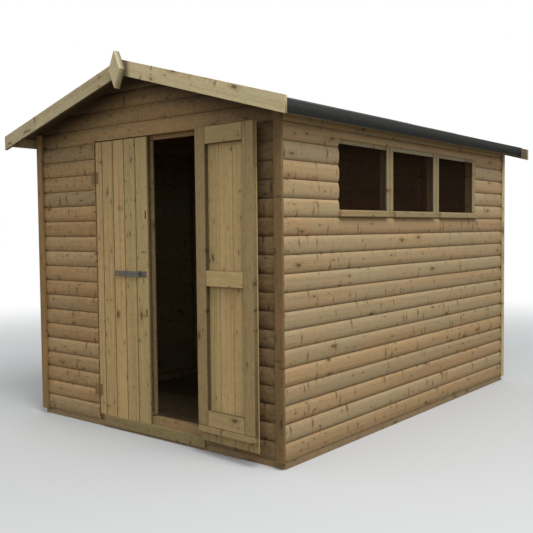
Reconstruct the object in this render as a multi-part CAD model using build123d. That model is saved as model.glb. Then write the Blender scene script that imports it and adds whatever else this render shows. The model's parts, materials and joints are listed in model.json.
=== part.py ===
from build123d import *
import math
import os

os.makedirs("parts", exist_ok=True)

# A pressure-treated garden shed with barrel-faced (loglap) walls, a felted apex roof,
# a pair of ledged doors in the front gable and a row of three fixed windows.
# Millimetres. X runs to the right along the front, Y to the back, Z up.
# The origin is at ground level, in the middle of the footprint.

# Overall walls, measured over the faces of the cladding
wall_width = 2190.0
wall_length = 3030.0

# Floor
bearer_height = 38.0
bearer_width = 44.0
bearer_inset = 10.0
inner_bearers = 3
deck_thickness = 16.0

# Barrel-faced wall boards
cladding_thickness = 22.0
groove_depth = 8.0
board_cover = 102.0
first_course = 106.0
cladding_base = bearer_height
joint_flat = 3.0

# Wall framing
stud_width = 44.0
stud_depth = 44.0
jamb_width = 70.0
bottom_rail_height = 76.0
side_rail_height = 44.0
head_rail_height = 44.0
plate_height = 60.0

# Corner strips
corner_strip_width = 55.0
corner_strip_thickness = 18.0
side_strip_width = 40.0
side_strip_thickness = 12.0

# Roof
roof_pitch = 16.0
wall_over_door = 100.0
barge_depth = 90.0
barge_thickness = 20.0
barge_overhang = 174.0
barge_past_eaves = 51.0
barge_upstand = 14.0
roof_board = 12.0
felt_thickness = 3.0
eaves_overhang = 96.0
eaves_band = 75.0
fascia_thickness = 16.0
ridge_beam_width = 44.0
ridge_beam_height = 90.0
purlin_offset = 560.0
purlin_width = 44.0
purlin_height = 70.0
cap_reach = 150.0
cap_thickness = 2.0
mitre_gap = 1.0

# Finial
finial_width = 102.0
finial_height = 224.0
finial_thickness = 44.0
finial_drop = 67.0

# Doors
meeting_line = 27.5
left_leaf_width = 500.0
right_leaf_width = 464.0
leaf_gap = 5.0
jamb_gap = 5.0
jamb_lap = 3.0
head_gap = 7.0
foot_gap = 2.0
head_course = 17
head_cut = 10.0
sill_rise = 42.0
leaf_board = 11.0
leaf_frame = 27.0
stile_width = 82.0
rail_height = 90.0
top_rail_height = 97.0
foot_bar_height = 40.0
foot_bar_gap = 7.0
mid_rail_rise = 899.0
frame_inset_hinge = 7.0
frame_inset_meeting = 12.0
closing_frame_inset = 1.0
astragal_width = 54.0
astragal_thickness = 16.0
astragal_reach = 10.0
astragal_relief = 1.5
astragal_drop = 23.0
seal_gap = 5.0
stop_height = 27.0
open_angle = 176.5
sill_drop = 22.0
sill_lap = 50.0
sill_joint = 112.0
slot_width = 13.0
slot_height = 52.0
lower_slot_rise = 676.0
upper_slot_rise = 1291.0
slot_inset = 22.0

# Butt hinges
hinge_height = 75.0
hinge_flap = 30.0
flap_thickness = 2.5
knuckle_radius = 5.5
pin_radius = 2.6
pin_clearance = 0.3
knuckle_gap = 1.0
lower_hinge_rise = 126.0
upper_hinge_rise = 1531.0

# Hasp and staple
hasp_rise = 946.0
hasp_from_meeting = 79.0
plate_length = 60.0
hasp_plate_height = 37.0
hasp_thickness = 3.0
strap_length = 232.0
strap_height = 32.0
strap_clearance = 5.0
hasp_knuckle_radius = 5.0
staple_reach = 205.0
staple_spread = 20.0
staple_rod = 3.0
staple_clearance = 3.0
staple_stand = 14.0

# Windows in the right-hand wall, from the front corner backwards
window_start = 534.0
first_mullion = 1131.0
second_mullion = 1790.0
mullion_width = 86.0
end_strip_centre = 2434.0
end_strip_width = 54.0
window_head_drop = 63.0
window_height = 452.0
glass_thickness = 3.0
pane_gap = 6.0
mullion_thickness = 16.0
mullion_groove = 6.0
bead_height = 26.0
bead_thickness = 12.0
window_sill_face = 32.0
window_sill_slope = 8.0
window_sill_reach = 18.0
sill_lip = 22.0

# Values worked out from those above
half_width = wall_width / 2
half_length = wall_length / 2
frame_x = half_width - cladding_thickness
frame_y = half_length - cladding_thickness
deck_top = bearer_height + deck_thickness
rise = math.tan(math.radians(roof_pitch))
slope_cos = math.cos(math.radians(roof_pitch))
door_head = cladding_base + first_course + head_course * board_cover + head_cut
leaf_top = door_head - head_gap
sill_top = cladding_base + sill_rise
leaf_base = sill_top + foot_gap
leaf_height = leaf_top - leaf_base
front_rail_top = deck_top + bottom_rail_height
side_rail_top = deck_top + side_rail_height
barge_end = half_width + eaves_overhang + barge_past_eaves
roof_end = half_length + barge_overhang - barge_thickness
roof_drop = (barge_upstand + felt_thickness + roof_board) / slope_cos
ridge_height = door_head + wall_over_door + rise * frame_x + roof_drop
left_leaf_edge = meeting_line - leaf_gap / 2
right_leaf_edge = meeting_line + leaf_gap / 2
door_left = left_leaf_edge - left_leaf_width
door_right = right_leaf_edge + right_leaf_width
leaf_back_y = -frame_y - seal_gap
leaf_face_y = leaf_back_y - leaf_board
pin_y = -half_length - flap_thickness - knuckle_radius
left_pin_x = door_left - jamb_gap / 2
right_pin_x = door_right + jamb_gap / 2
foot_bar_base = front_rail_top + foot_bar_gap
window_head = door_head - window_head_drop
window_base = window_head - window_height


def block(x0, x1, y0, y1, z0, z1):
    """A squared timber between two corners."""
    middle = Pos((x0 + x1) / 2, (y0 + y1) / 2, (z0 + z1) / 2)
    return middle * Box(abs(x1 - x0), abs(y1 - y0), abs(z1 - z0))


def prism_along_y(points, y0, y1):
    """An upright outline in X and Z, drawn out from y0 to y1."""
    outline = Polyline(*[(x, y0, z) for x, z in points], close=True)
    return extrude(make_face(outline), amount=y1 - y0, dir=(0, 1, 0))


def prism_along_x(points, x0, x1):
    """An upright outline in Y and Z, drawn out from x0 to x1."""
    outline = Polyline(*[(x0, y, z) for y, z in points], close=True)
    return extrude(make_face(outline), amount=x1 - x0, dir=(1, 0, 0))


def under_roof(x):
    """Height of the roof boards' underside at a distance x from the ridge."""
    return ridge_height - roof_drop - rise * abs(x)


def write(node, *solids):
    """Write one node's solids to its own file."""
    shape = solids[0] if len(solids) == 1 else Compound(children=list(solids))
    shape.label = node
    export_step(shape, f"parts/{node}.step")


def mirrored_x(shape):
    return mirror(shape, about=Plane.YZ)


def turned(shape, quarter_turns):
    return Rot(0, 0, 90 * quarter_turns) * shape


# Wall cladding

def loglap(length, face, top, base=cladding_base):
    """Barrel-faced boards of a wall that faces -Y, from its base up to a level top.

    Every course is one arc between two grooves, with a small flat at each joint.
    """
    crest = -face
    groove = crest + groove_depth
    back = crest + cladding_thickness
    start = -length / 2
    edges = []
    low = base
    high = base + first_course
    point = (start, groove, low)
    first = point
    while low < top:
        middle = (start, crest, (low + high) / 2)
        end = (start, groove, high - joint_flat)
        edges.append(ThreePointArc(point, middle, end))
        joint = (start, groove, high)
        edges.append(Line(end, joint))
        point = joint
        low = high
        high = high + board_cover
    behind_top = (start, back, low)
    behind_base = (start, back, base)
    edges.append(Polyline(point, behind_top, behind_base, first))
    boards = extrude(make_face(edges), amount=length, dir=(1, 0, 0))
    trim = block(start, -start, crest, back, base, top)
    return boards & trim


def gable_boards():
    """Cladding of a gable wall up to the roof boards, between the side walls."""
    peak = under_roof(0)
    boards = loglap(2 * frame_x, half_length, peak)
    eaves = under_roof(frame_x)
    outline = [(-frame_x, cladding_base), (frame_x, cladding_base), (frame_x, eaves), (0, peak), (-frame_x, eaves)]
    return boards & prism_along_y(outline, -half_length, -frame_y)


def front_cladding():
    """The front gable, cut around the doorway into two sides and the gable over it."""
    boards = gable_boards()
    left_edge = door_left - jamb_gap
    right_edge = door_right + jamb_gap
    left = boards & block(-frame_x, left_edge, -half_length, -frame_y, cladding_base, door_head)
    right = boards & block(right_edge, frame_x, -half_length, -frame_y, cladding_base, door_head)
    gable = boards & block(-frame_x, frame_x, -half_length, -frame_y, door_head, ridge_height)
    write("front_wall_left", left)
    write("front_wall_right", right)
    write("front_gable", gable)


def side_cladding():
    """Both long walls, the right-hand one cut around its row of windows."""
    top = under_roof(half_width)
    plain = loglap(wall_length, half_width, top)
    write("left_wall", turned(plain, 3))
    right = turned(plain, 1)
    front = -half_length
    start = front + window_start
    end = front + end_strip_centre + end_strip_width / 2
    below = block(frame_x, half_width, front, half_length, cladding_base, window_base)
    ahead = block(frame_x, half_width, front, start, window_base, top)
    behind = block(frame_x, half_width, end, half_length, window_base, top)
    over = block(frame_x, half_width, start, end, window_head, top)
    write("right_wall_below_windows", right & below)
    write("right_wall_beside_windows", right & ahead, right & behind)
    write("right_wall_over_windows", right & over)


def corner_strips():
    """Plain strips over the boards' ends at the corners."""
    x0 = half_width - corner_strip_width
    y1 = half_length + corner_strip_thickness
    z1 = under_roof(half_width + side_strip_thickness)
    strip = block(x0, half_width, half_length, y1, cladding_base, z1)
    back = [strip, mirrored_x(strip)]
    front = [mirror(one, about=Plane.XZ) for one in back]
    write("gable_corner_strips", *back, *front)
    side = block(
        half_width, half_width + side_strip_thickness,
        half_length - side_strip_width, half_length, cladding_base, z1,
    )
    write("side_corner_strips", side, mirrored_x(side))


# Floor

def floor():
    """Bearers under a boarded deck. The outer ones carry the cladding and show below it."""
    edge_x = half_width - bearer_inset
    edge_y = half_length - bearer_inset
    run = edge_y - bearer_width
    front = block(-edge_x, edge_x, -edge_y, -run, 0, bearer_height)
    write("floor_end_bearers", front, turned(front, 2))
    edge = edge_x - bearer_width / 2
    step = 2 * edge / (inner_bearers + 1)
    bearers = []
    for index in range(inner_bearers + 2):
        x = -edge + index * step
        bearers.append(block(x - bearer_width / 2, x + bearer_width / 2, -run, run, 0, bearer_height))
    write("floor_bearers", *bearers)
    write("floor_deck", block(-frame_x, frame_x, -frame_y, frame_y, bearer_height, deck_top))


def door_sill():
    """Two boards across the foot of the doorway, rebated to lap over the bearer."""
    bearer_face = -half_length + bearer_inset
    outline = [
        (-half_length, cladding_base - sill_drop), (bearer_face, cladding_base - sill_drop),
        (bearer_face, cladding_base), (-frame_y, cladding_base), (-frame_y, sill_top), (-half_length, sill_top),
    ]
    left = prism_along_x(outline, door_left + sill_lap, sill_joint - mitre_gap / 2)
    right = prism_along_x(outline, sill_joint + mitre_gap / 2, door_right)
    write("door_sill", left, right)


# Wall framing

def stud(x0, x1, z0, z1):
    """An upright in the front wall's frame."""
    return block(x0, x1, -frame_y, -frame_y + stud_depth, z0, z1)


def rafter_foot():
    """Height of the gable rafters' underside at the outside of the frame."""
    return under_roof(frame_x) - stud_depth / slope_cos


def gable_framing():
    """Studs, rails and rafters behind both gables."""
    y0 = -frame_y
    y1 = -frame_y + stud_depth
    rail = block(-frame_x, frame_x, y0, y1, deck_top, front_rail_top)
    head_top = door_head + head_rail_height
    inner = frame_x - stud_width
    head = block(-inner, inner, y0, y1, door_head, head_top)
    corner = stud(inner, frame_x, front_rail_top, rafter_foot())
    post_top = under_roof(ridge_beam_width / 2) - ridge_beam_height
    king = stud(-ridge_beam_width / 2, ridge_beam_width / 2, head_top, post_top)
    jamb_inner_left = door_left + jamb_lap
    jamb_inner_right = door_right - jamb_lap
    left_jamb = stud(jamb_inner_left - jamb_width, jamb_inner_left, front_rail_top, door_head)
    right_jamb = stud(jamb_inner_right, jamb_inner_right + jamb_width, front_rail_top, door_head)
    write("front_studs", corner, mirrored_x(corner), left_jamb, right_jamb, king)
    third = inner / 3
    middle = stud(third - stud_width / 2, third + stud_width / 2, front_rail_top, door_head)
    plain = [corner, mirrored_x(corner), middle, mirrored_x(middle), king]
    write("back_studs", *[turned(one, 2) for one in plain])
    rails = [rail, head]
    write("gable_rails", *rails, *[turned(one, 2) for one in rails])
    near = ridge_beam_width / 2
    drop = stud_depth / slope_cos
    outline = [
        (near, under_roof(near)), (near, under_roof(near) - drop),
        (frame_x, under_roof(frame_x) - drop), (frame_x, under_roof(frame_x)),
    ]
    rafter = prism_along_y(outline, y0, y1)
    front = [rafter, mirrored_x(rafter)]
    write("gable_rafters", *front, *[turned(one, 2) for one in front])


def door_stop():
    """The batten under the head rail that the doors close against."""
    y0 = leaf_back_y + leaf_frame + seal_gap
    x0 = door_left + jamb_lap
    x1 = door_right - jamb_lap
    write("door_stop", block(x0, x1, y0, -frame_y + stud_depth, door_head - stop_height, door_head))


def side_framing():
    """Studs, rails and bevelled plates of the long walls."""
    x0 = frame_x - stud_depth
    run = frame_y - stud_depth
    plate_base = under_roof(frame_x) - plate_height
    rail = block(x0, frame_x, -run, run, deck_top, side_rail_top)
    outline = [(x0, plate_base), (frame_x, plate_base), (frame_x, under_roof(frame_x)), (x0, under_roof(x0))]
    plate = prism_along_y(outline, -run, run)
    write("side_rails", rail, plate, mirrored_x(rail), mirrored_x(plate))
    end = run - stud_width / 2
    front = -half_length
    places = [-end, front + window_start, front + first_mullion, front + second_mullion]
    places.extend([front + end_strip_centre, end])
    studs = []
    for y in places:
        studs.append(block(x0, frame_x, y - stud_width / 2, y + stud_width / 2, side_rail_top, plate_base))
    step = end / 2
    for index in range(-2, 3):
        y = index * step
        one = block(x0, frame_x, y - stud_width / 2, y + stud_width / 2, side_rail_top, plate_base)
        studs.append(mirrored_x(one))
    write("side_studs", *studs)


# Windows

def window_panes():
    """Three fixed panes that meet behind the mullions, with a bead over each."""
    front = -half_length
    centres = [front + first_mullion, front + second_mullion]
    starts = [front + window_start, centres[0] + pane_gap / 2, centres[1] + pane_gap / 2]
    ends = [centres[0] - pane_gap / 2, centres[1] - pane_gap / 2, front + end_strip_centre]
    glass_x = frame_x + glass_thickness
    panes = []
    for start, end in zip(starts, ends):
        panes.append(block(frame_x, glass_x, start, end, window_base + sill_lip, window_head))
    write("window_glass", *panes)
    half = mullion_width / 2
    clear_starts = [front + window_start, centres[0] + half, centres[1] + half]
    clear_ends = [centres[0] - half, centres[1] - half, front + end_strip_centre - end_strip_width / 2]
    beads = []
    for start, end in zip(clear_starts, clear_ends):
        beads.append(block(glass_x, glass_x + bead_thickness, start, end, window_head - bead_height, window_head))
    write("window_head_beads", *beads)
    sill_ends = clear_ends[:2] + [front + end_strip_centre + end_strip_width / 2]
    sills = []
    for start, end in zip(clear_starts, sill_ends):
        sills.append(window_sill(start, end))
    write("window_sills", *sills)
    return centres


def window_sill(start, end):
    """A weathered sill whose top slopes to a square front edge."""
    inner = frame_x + glass_thickness
    outer = half_width + window_sill_reach
    edge = window_base + window_sill_face
    outline = [(inner, window_base), (outer, window_base), (outer, edge), (inner, edge + window_sill_slope)]
    return prism_along_y(outline, start, end)


def mullion(centre, width, base):
    """A cover board over the joint of two panes, grooved down its middle."""
    inner = frame_x + glass_thickness
    outer = inner + mullion_thickness
    board = block(inner, outer, centre - width / 2, centre + width / 2, base, window_head)
    side = mullion_groove / math.sqrt(2)
    groove = Pos(outer, centre, (base + window_head) / 2) * Rot(0, 0, 45) * Box(side, side, window_head - base)
    return board - groove


def window_mullions(centres):
    """Two grooved mullions and the strip at the last pane's far side."""
    sill_top_inner = window_base + window_sill_face + window_sill_slope
    inner = frame_x + glass_thickness
    outer = inner + mullion_thickness
    end = -half_length + end_strip_centre
    half = end_strip_width / 2
    strip = block(inner, outer, end - half, end + half, sill_top_inner, window_head)
    posts = [mullion(centre, mullion_width, window_base) for centre in centres]
    write("window_mullions", *posts, strip)


# Roof

def roof_timbers():
    """Ridge beam and purlins, both bevelled to the roof's pitch."""
    near = ridge_beam_width / 2
    base = under_roof(near) - ridge_beam_height
    outline = [(-near, base), (near, base), (near, under_roof(near)), (0, under_roof(0)), (-near, under_roof(near))]
    ridge = prism_along_y(outline, -frame_y, frame_y)
    run = frame_y - stud_depth
    inner = purlin_offset - purlin_width / 2
    outer = purlin_offset + purlin_width / 2
    low = under_roof(outer) - purlin_height
    outline = [(inner, low), (outer, low), (outer, under_roof(outer)), (inner, under_roof(inner))]
    purlin = prism_along_y(outline, -run, run)
    write("ridge_beam_and_purlins", ridge, purlin, mirrored_x(purlin))


def roof_covering():
    """Boarded slopes, eaves fascias, and felt that is turned down over each fascia."""
    edge = half_width + eaves_overhang - felt_thickness
    lift = roof_board / slope_cos
    slope = [(0, under_roof(0)), (edge, under_roof(edge)), (edge, under_roof(edge) + lift), (0, under_roof(0) + lift)]
    boards = prism_along_y(slope, -roof_end, roof_end)
    write("roof_right", boards)
    write("roof_left", mirrored_x(boards))
    outer = edge + felt_thickness
    skin = lift + felt_thickness / slope_cos
    band_base = under_roof(outer) + skin - eaves_band
    inner = edge - fascia_thickness
    board = [(inner, band_base), (edge, band_base), (edge, under_roof(edge)), (inner, under_roof(inner))]
    fascia = prism_along_y(board, -roof_end, roof_end)
    write("eaves_fascias", fascia, mirrored_x(fascia))
    sheet = [
        (0, under_roof(0) + lift), (edge, under_roof(edge) + lift), (edge, band_base),
        (outer, band_base), (outer, under_roof(outer) + skin), (0, under_roof(0) + skin),
    ]
    felt = prism_along_y(sheet, -roof_end, roof_end)
    write("felt_right", felt)
    write("felt_left", mirrored_x(felt))
    top = skin + cap_thickness / slope_cos
    half = [
        (0, under_roof(0) + skin), (cap_reach, under_roof(cap_reach) + skin),
        (cap_reach, under_roof(cap_reach) + top), (0, under_roof(0) + top),
    ]
    other = [(-x, z) for x, z in half[1:3]]
    outline = half + other[::-1]
    write("felt_ridge_cap", prism_along_y(outline, -roof_end, roof_end))


def barge_boards():
    """Plumb-cut barge boards on both gables, mitred at the ridge. The back pair ends level with the felt."""
    front = -half_length - barge_overhang
    start = mitre_gap / 2
    depth = barge_depth / slope_cos
    top_start = ridge_height - rise * start
    top_end = ridge_height - rise * barge_end
    outline = [(start, top_start), (barge_end, top_end), (barge_end, top_end - depth), (start, top_start - depth)]
    board = prism_along_y(outline, front, front + barge_thickness)
    pair = [board, mirrored_x(board)]
    write("front_barge_boards", *pair)
    lower = Pos(0, 0, -barge_upstand / slope_cos)
    write("back_barge_boards", *[lower * turned(one, 2) for one in pair])


def finial():
    """A long diamond on the face of the front barge boards."""
    face = -half_length - barge_overhang
    middle = ridge_height - finial_drop
    across = finial_width / 2
    up = finial_height / 2
    outline = [(-across, middle), (0, middle - up), (across, middle), (0, middle + up)]
    diamond = prism_along_y(outline, face - finial_thickness, face)
    write("front_finial", diamond)


# Doors, drawn shut. The right-hand leaf is then swung to its place.

def swung(shape):
    """The right-hand leaf's pieces in their open place."""
    return Pos(right_pin_x, pin_y, 0) * Rot(0, 0, open_angle) * Pos(-right_pin_x, -pin_y, 0) * shape


def leaf_panel(x0, x1):
    """A leaf's upright boards as one panel."""
    return block(x0, x1, leaf_face_y, leaf_back_y, leaf_base, leaf_top)


def leaf_ledges(x0, x1):
    """A leaf's frame: two stiles and three rails on a bar across the foot."""
    y0 = leaf_back_y
    y1 = leaf_back_y + leaf_frame
    frame = block(x0, x1, y0, y1, foot_bar_base, leaf_top)
    inner0 = x0 + stile_width
    inner1 = x1 - stile_width
    mid_base = leaf_base + mid_rail_rise
    mid_top = mid_base + rail_height
    low_base = foot_bar_base + foot_bar_height + rail_height
    upper = block(inner0, inner1, y0, y1, mid_top, leaf_top - top_rail_height)
    lower = block(inner0, inner1, y0, y1, low_base, mid_base)
    return frame - upper - lower


def left_door():
    """The leaf that shuts first, with a strip behind its stile for the other leaf to lap."""
    stile_edge = left_leaf_edge - frame_inset_meeting
    frame_back_y = leaf_back_y + leaf_frame
    panel = leaf_panel(door_left, left_leaf_edge)
    frame = leaf_ledges(door_left + frame_inset_hinge, stile_edge)
    for slot_rise in (lower_slot_rise, upper_slot_rise):
        x = left_leaf_edge - slot_inset
        z = leaf_base + slot_rise
        cut = block(x - slot_width / 2, x + slot_width / 2, leaf_face_y, frame_back_y, z, z + slot_height)
        panel = panel - cut
        frame = frame - cut
    strip_edge = left_leaf_edge + astragal_reach
    strip_back_y = frame_back_y + astragal_thickness
    strip_top = leaf_top - astragal_drop
    strip = block(strip_edge - astragal_width, strip_edge, frame_back_y, strip_back_y, foot_bar_base, strip_top)
    relief = block(stile_edge, strip_edge, frame_back_y, frame_back_y + astragal_relief, foot_bar_base, strip_top)
    write("left_door_boards", panel)
    write("left_door_frame", frame + (strip - relief))


def right_door():
    """The leaf that shuts last, in front of the other leaf's strip."""
    write("right_door_boards", swung(leaf_panel(right_leaf_edge, door_right)))
    frame = leaf_ledges(right_leaf_edge + closing_frame_inset, door_right - frame_inset_hinge)
    write("right_door_frame", swung(frame))


def knuckle(x, z0, z1):
    """One barrel of a hinge, bored for its pin."""
    middle = Pos(x, pin_y, (z0 + z1) / 2)
    barrel = middle * Cylinder(knuckle_radius, z1 - z0)
    return barrel - middle * Cylinder(pin_radius + pin_clearance, z1 - z0)


def wall_half(x, side, base):
    """The hinge's flap on the cladding, with two barrels and the pin."""
    crest = -half_length
    third = hinge_height / 3
    start = x + side * (knuckle_radius + knuckle_gap)
    flap = block(start, x + side * (jamb_gap / 2 + hinge_flap), crest - flap_thickness, crest, base, base + hinge_height)
    half = flap
    for z in (base, base + 2 * third):
        web = block(x, start, pin_y + pin_radius + pin_clearance, crest, z, z + third)
        half = half + web + knuckle(x, z, z + third)
        plug = Pos(x, pin_y, z + third / 2) * Cylinder(pin_radius + pin_clearance, third)
        half = half + plug
    pin = Pos(x, pin_y, base + hinge_height / 2) * Cylinder(pin_radius, hinge_height)
    return half + pin


def door_half(x, side, base):
    """The hinge's cranked flap on the leaf, with the middle barrel."""
    third = hinge_height / 3
    z0 = base + third + knuckle_gap
    z1 = base + 2 * third - knuckle_gap
    near = x + side * (jamb_gap / 2 + knuckle_gap)
    far = x + side * (jamb_gap / 2 + hinge_flap)
    flap = block(near, far, leaf_face_y - flap_thickness, leaf_face_y, base, base + hinge_height)
    crank = block(near, near + side * flap_thickness, pin_y, leaf_face_y, z0, z1)
    return flap + crank + knuckle(x, z0, z1)


def hinges():
    """Two butt hinges to each leaf."""
    fixed = []
    left = []
    right = []
    for hinge_rise in (lower_hinge_rise, upper_hinge_rise):
        base = leaf_base + hinge_rise
        fixed.append(wall_half(left_pin_x, -1, base))
        fixed.append(wall_half(right_pin_x, 1, base))
        left.append(door_half(left_pin_x, 1, base))
        right.append(swung(door_half(right_pin_x, -1, base)))
    write("hinge_wall_flaps", *fixed)
    write("left_door_hinge_flaps", *left)
    write("right_door_hinge_flaps", *right)


# Hasp and staple

hasp_x = left_leaf_edge - hasp_from_meeting
hasp_y = leaf_face_y - hasp_thickness - strap_clearance - hasp_thickness / 2
hasp_z = leaf_base + hasp_rise
staple_x = hasp_x + staple_reach


def hasp_plate():
    """The plate on the left-hand leaf, with the two outer barrels and the pin."""
    half = hasp_plate_height / 2
    third = hasp_plate_height / 3
    plate = block(
        hasp_x, hasp_x + plate_length,
        leaf_face_y - hasp_thickness, leaf_face_y, hasp_z - half, hasp_z + half,
    )
    bore = pin_radius + pin_clearance
    for z in (hasp_z - half, hasp_z + half - third):
        web = block(hasp_x, hasp_x + hasp_knuckle_radius, hasp_y, leaf_face_y, z, z + third)
        barrel = Pos(hasp_x, hasp_y, z + third / 2) * Cylinder(hasp_knuckle_radius, third)
        plate = plate + web + barrel
    pin = Pos(hasp_x, hasp_y, hasp_z) * Cylinder(bore - pin_clearance, hasp_plate_height)
    return plate + pin


def hasp_strap():
    """The slotted strap, folded back to the left, clear of the boards."""
    third = hasp_plate_height / 3
    half = strap_height / 2
    low = hasp_z - third / 2 + knuckle_gap
    high = hasp_z + third / 2 - knuckle_gap
    y0 = hasp_y - hasp_thickness / 2
    y1 = hasp_y + hasp_thickness / 2
    start = hasp_x - hasp_knuckle_radius - knuckle_gap
    strap = block(hasp_x - strap_length, start, y0, y1, hasp_z - half, hasp_z + half)
    neck = block(start, hasp_x, y0, y1, low, high)
    barrel = Pos(hasp_x, hasp_y, (low + high) / 2) * Cylinder(hasp_knuckle_radius, high - low)
    bore = Pos(hasp_x, hasp_y, (low + high) / 2) * Cylinder(pin_radius + pin_clearance, high - low)
    reach = staple_spread / 2 + staple_rod + staple_clearance
    tall = staple_rod + staple_clearance
    slot = block(hasp_x - staple_reach - reach, hasp_x - staple_reach + reach, y0, y1, hasp_z - tall, hasp_z + tall)
    return strap + neck + barrel - bore - slot


def staple():
    """A hooped staple on a plate, on the right-hand leaf."""
    half = strap_height / 2
    wide = staple_spread / 2 + 3 * staple_rod
    plate = block(
        staple_x - wide, staple_x + wide,
        leaf_face_y - hasp_thickness, leaf_face_y, hasp_z - half, hasp_z + half,
    )
    root = leaf_face_y - hasp_thickness
    arch = hasp_y - hasp_thickness / 2 - staple_stand
    spread = staple_spread / 2
    left = Line((staple_x - spread, root, hasp_z), (staple_x - spread, arch + spread, hasp_z))
    crown = ThreePointArc(
        (staple_x - spread, arch + spread, hasp_z), (staple_x, arch, hasp_z),
        (staple_x + spread, arch + spread, hasp_z),
    )
    right = Line((staple_x + spread, arch + spread, hasp_z), (staple_x + spread, root, hasp_z))
    path = Wire([left, crown, right])
    section = Plane(origin=(staple_x - spread, root, hasp_z), z_dir=(0, -1, 0)) * Circle(staple_rod)
    return plate + sweep(section, path=path)


def ironmongery():
    write("hasp_plate", hasp_plate())
    write("hasp_strap", hasp_strap())
    write("hasp_staple", swung(staple()))


floor()
front_cladding()
write("back_wall", turned(gable_boards(), 2))
side_cladding()
corner_strips()
door_sill()
gable_framing()
door_stop()
side_framing()
window_mullions(window_panes())
roof_timbers()
roof_covering()
barge_boards()
finial()
left_door()
right_door()
hinges()
ironmongery()
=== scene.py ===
"""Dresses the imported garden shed: single boards, felt, ironmongery and their finishes.

Sizes are in metres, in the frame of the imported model: X to the right along the
door gable, Y towards the back, Z up from the ground.
"""

import json
import math
import random

import bmesh
import bpy
from bpy.props import FloatProperty, FloatVectorProperty, PointerProperty
from mathutils import Matrix, Vector, noise


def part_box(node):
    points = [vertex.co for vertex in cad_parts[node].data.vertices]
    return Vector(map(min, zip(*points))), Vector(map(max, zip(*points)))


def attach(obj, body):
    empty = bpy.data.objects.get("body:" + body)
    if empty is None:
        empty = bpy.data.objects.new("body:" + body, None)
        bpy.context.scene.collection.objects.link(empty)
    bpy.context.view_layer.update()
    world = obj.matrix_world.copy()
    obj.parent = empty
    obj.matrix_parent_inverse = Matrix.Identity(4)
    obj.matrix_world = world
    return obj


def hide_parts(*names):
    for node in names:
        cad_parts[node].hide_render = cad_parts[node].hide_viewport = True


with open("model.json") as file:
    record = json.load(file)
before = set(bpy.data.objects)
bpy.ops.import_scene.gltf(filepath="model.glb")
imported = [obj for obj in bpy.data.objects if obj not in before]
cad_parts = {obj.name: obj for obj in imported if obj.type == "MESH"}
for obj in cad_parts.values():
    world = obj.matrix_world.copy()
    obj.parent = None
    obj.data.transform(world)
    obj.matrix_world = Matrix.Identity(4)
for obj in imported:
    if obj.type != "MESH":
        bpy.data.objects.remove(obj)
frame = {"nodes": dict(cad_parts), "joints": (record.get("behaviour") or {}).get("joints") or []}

bl_info = {
    "name": "Garden Shed",
    "version": (1, 0, 0),
    "blender": (4, 5, 0),
    "location": "View3D > Sidebar > Garden Shed",
    "description": "Boards, felt, ironmongery and finishes for a wooden garden shed",
    "category": "Object",
}

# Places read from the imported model
LEFT_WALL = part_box("left_wall")
RIGHT_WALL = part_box("right_wall_below_windows")
BACK_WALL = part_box("back_wall")
FRONT_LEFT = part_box("front_wall_left")
FRONT_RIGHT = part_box("front_wall_right")
FRONT_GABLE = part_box("front_gable")
OVER_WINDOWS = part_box("right_wall_over_windows")
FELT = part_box("felt_right")
RIDGE_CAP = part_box("felt_ridge_cap")
ROOF_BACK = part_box("back_barge_boards")[1].y

HALF_WIDTH = RIGHT_WALL[1].x
HALF_LENGTH = RIGHT_WALL[1].y
BOARD_BACK = RIGHT_WALL[0].x
WALL_BASE = RIGHT_WALL[0].z
WALL_TOP = LEFT_WALL[1].z
DOOR_HEAD = FRONT_LEFT[1].z
PEAK = FRONT_GABLE[1].z
ROOF_FALL = (PEAK - WALL_TOP) / HALF_WIDTH
UPWARDS = (0, 0, 1)
SIDEWAYS = (1, 0, 0)

# How dark a place is that little light reaches, against 0 for an open face
WALL_JOINT = 0.6
WALL_BOARD_FOOT = 0.15
HIDDEN = 1.2
VERGE_UNDERSIDE = 1.25
LEAF_JOINT = 1.0
UNDER_FRAME = 0.45
FRAME_SHADE = 1.1
SLOT_SHADOW = 1.55

# Depths below the roof boards, and how dark the gable is there
ROOF_SHADOW = ((0.04, 1.30), (0.12, 0.80), (0.20, 0.28), (0.32, 0.10), (0.45, 0.0))


def length(name, description, default, least=0.0):
    """A length that the user may change."""
    return FloatProperty(
        name=name, description=description, default=default, min=least, unit="LENGTH",
    )


def tint(name, description, default):
    """A colour that the user may change."""
    return FloatVectorProperty(
        name=name, description=description, default=default,
        subtype="COLOR", size=3, min=0.0, max=1.0,
    )


class ShedTimber(bpy.types.PropertyGroup):
    """Sizes and colours of the boards and timbers."""

    cover: length("Board cover", "Height that each wall board covers", 0.102, 0.05)
    first_course: length("First course", "Height of the lowest wall board", 0.106, 0.05)
    groove: length("Groove depth", "How far a wall board curves back at its joints", 0.008, 0.001)
    joint: length("Joint", "Flat at the bottom of each groove", 0.003, 0.0005)
    fullness: FloatProperty(
        name="Fullness", description="How flat the middle of a wall board's face is",
        default=2.7, min=2.0,
    )
    edge_roll: length("Edge roll", "How far a wall board's edges turn back at its joints", 0.0026)
    joint_depth: length("Joint depth", "How deep the gap between two wall boards is", 0.007, 0.001)
    nail: length("Nail head", "Radius of a nail head", 0.0028, 0.001)
    arris: length("Arris", "Rounding of sawn and planed edges", 0.0015, 0.0002)
    sapwood: tint("Sapwood", "Main colour of the treated boards", (0.372, 0.249, 0.124))
    latewood: tint("Latewood", "Darker growth rings", (0.245, 0.152, 0.066))
    treatment: tint("Treatment", "Green-grey tint that the treatment leaves", (0.282, 0.234, 0.138))
    knot: tint("Knot", "Colour of the knots", (0.070, 0.034, 0.014))


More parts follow.
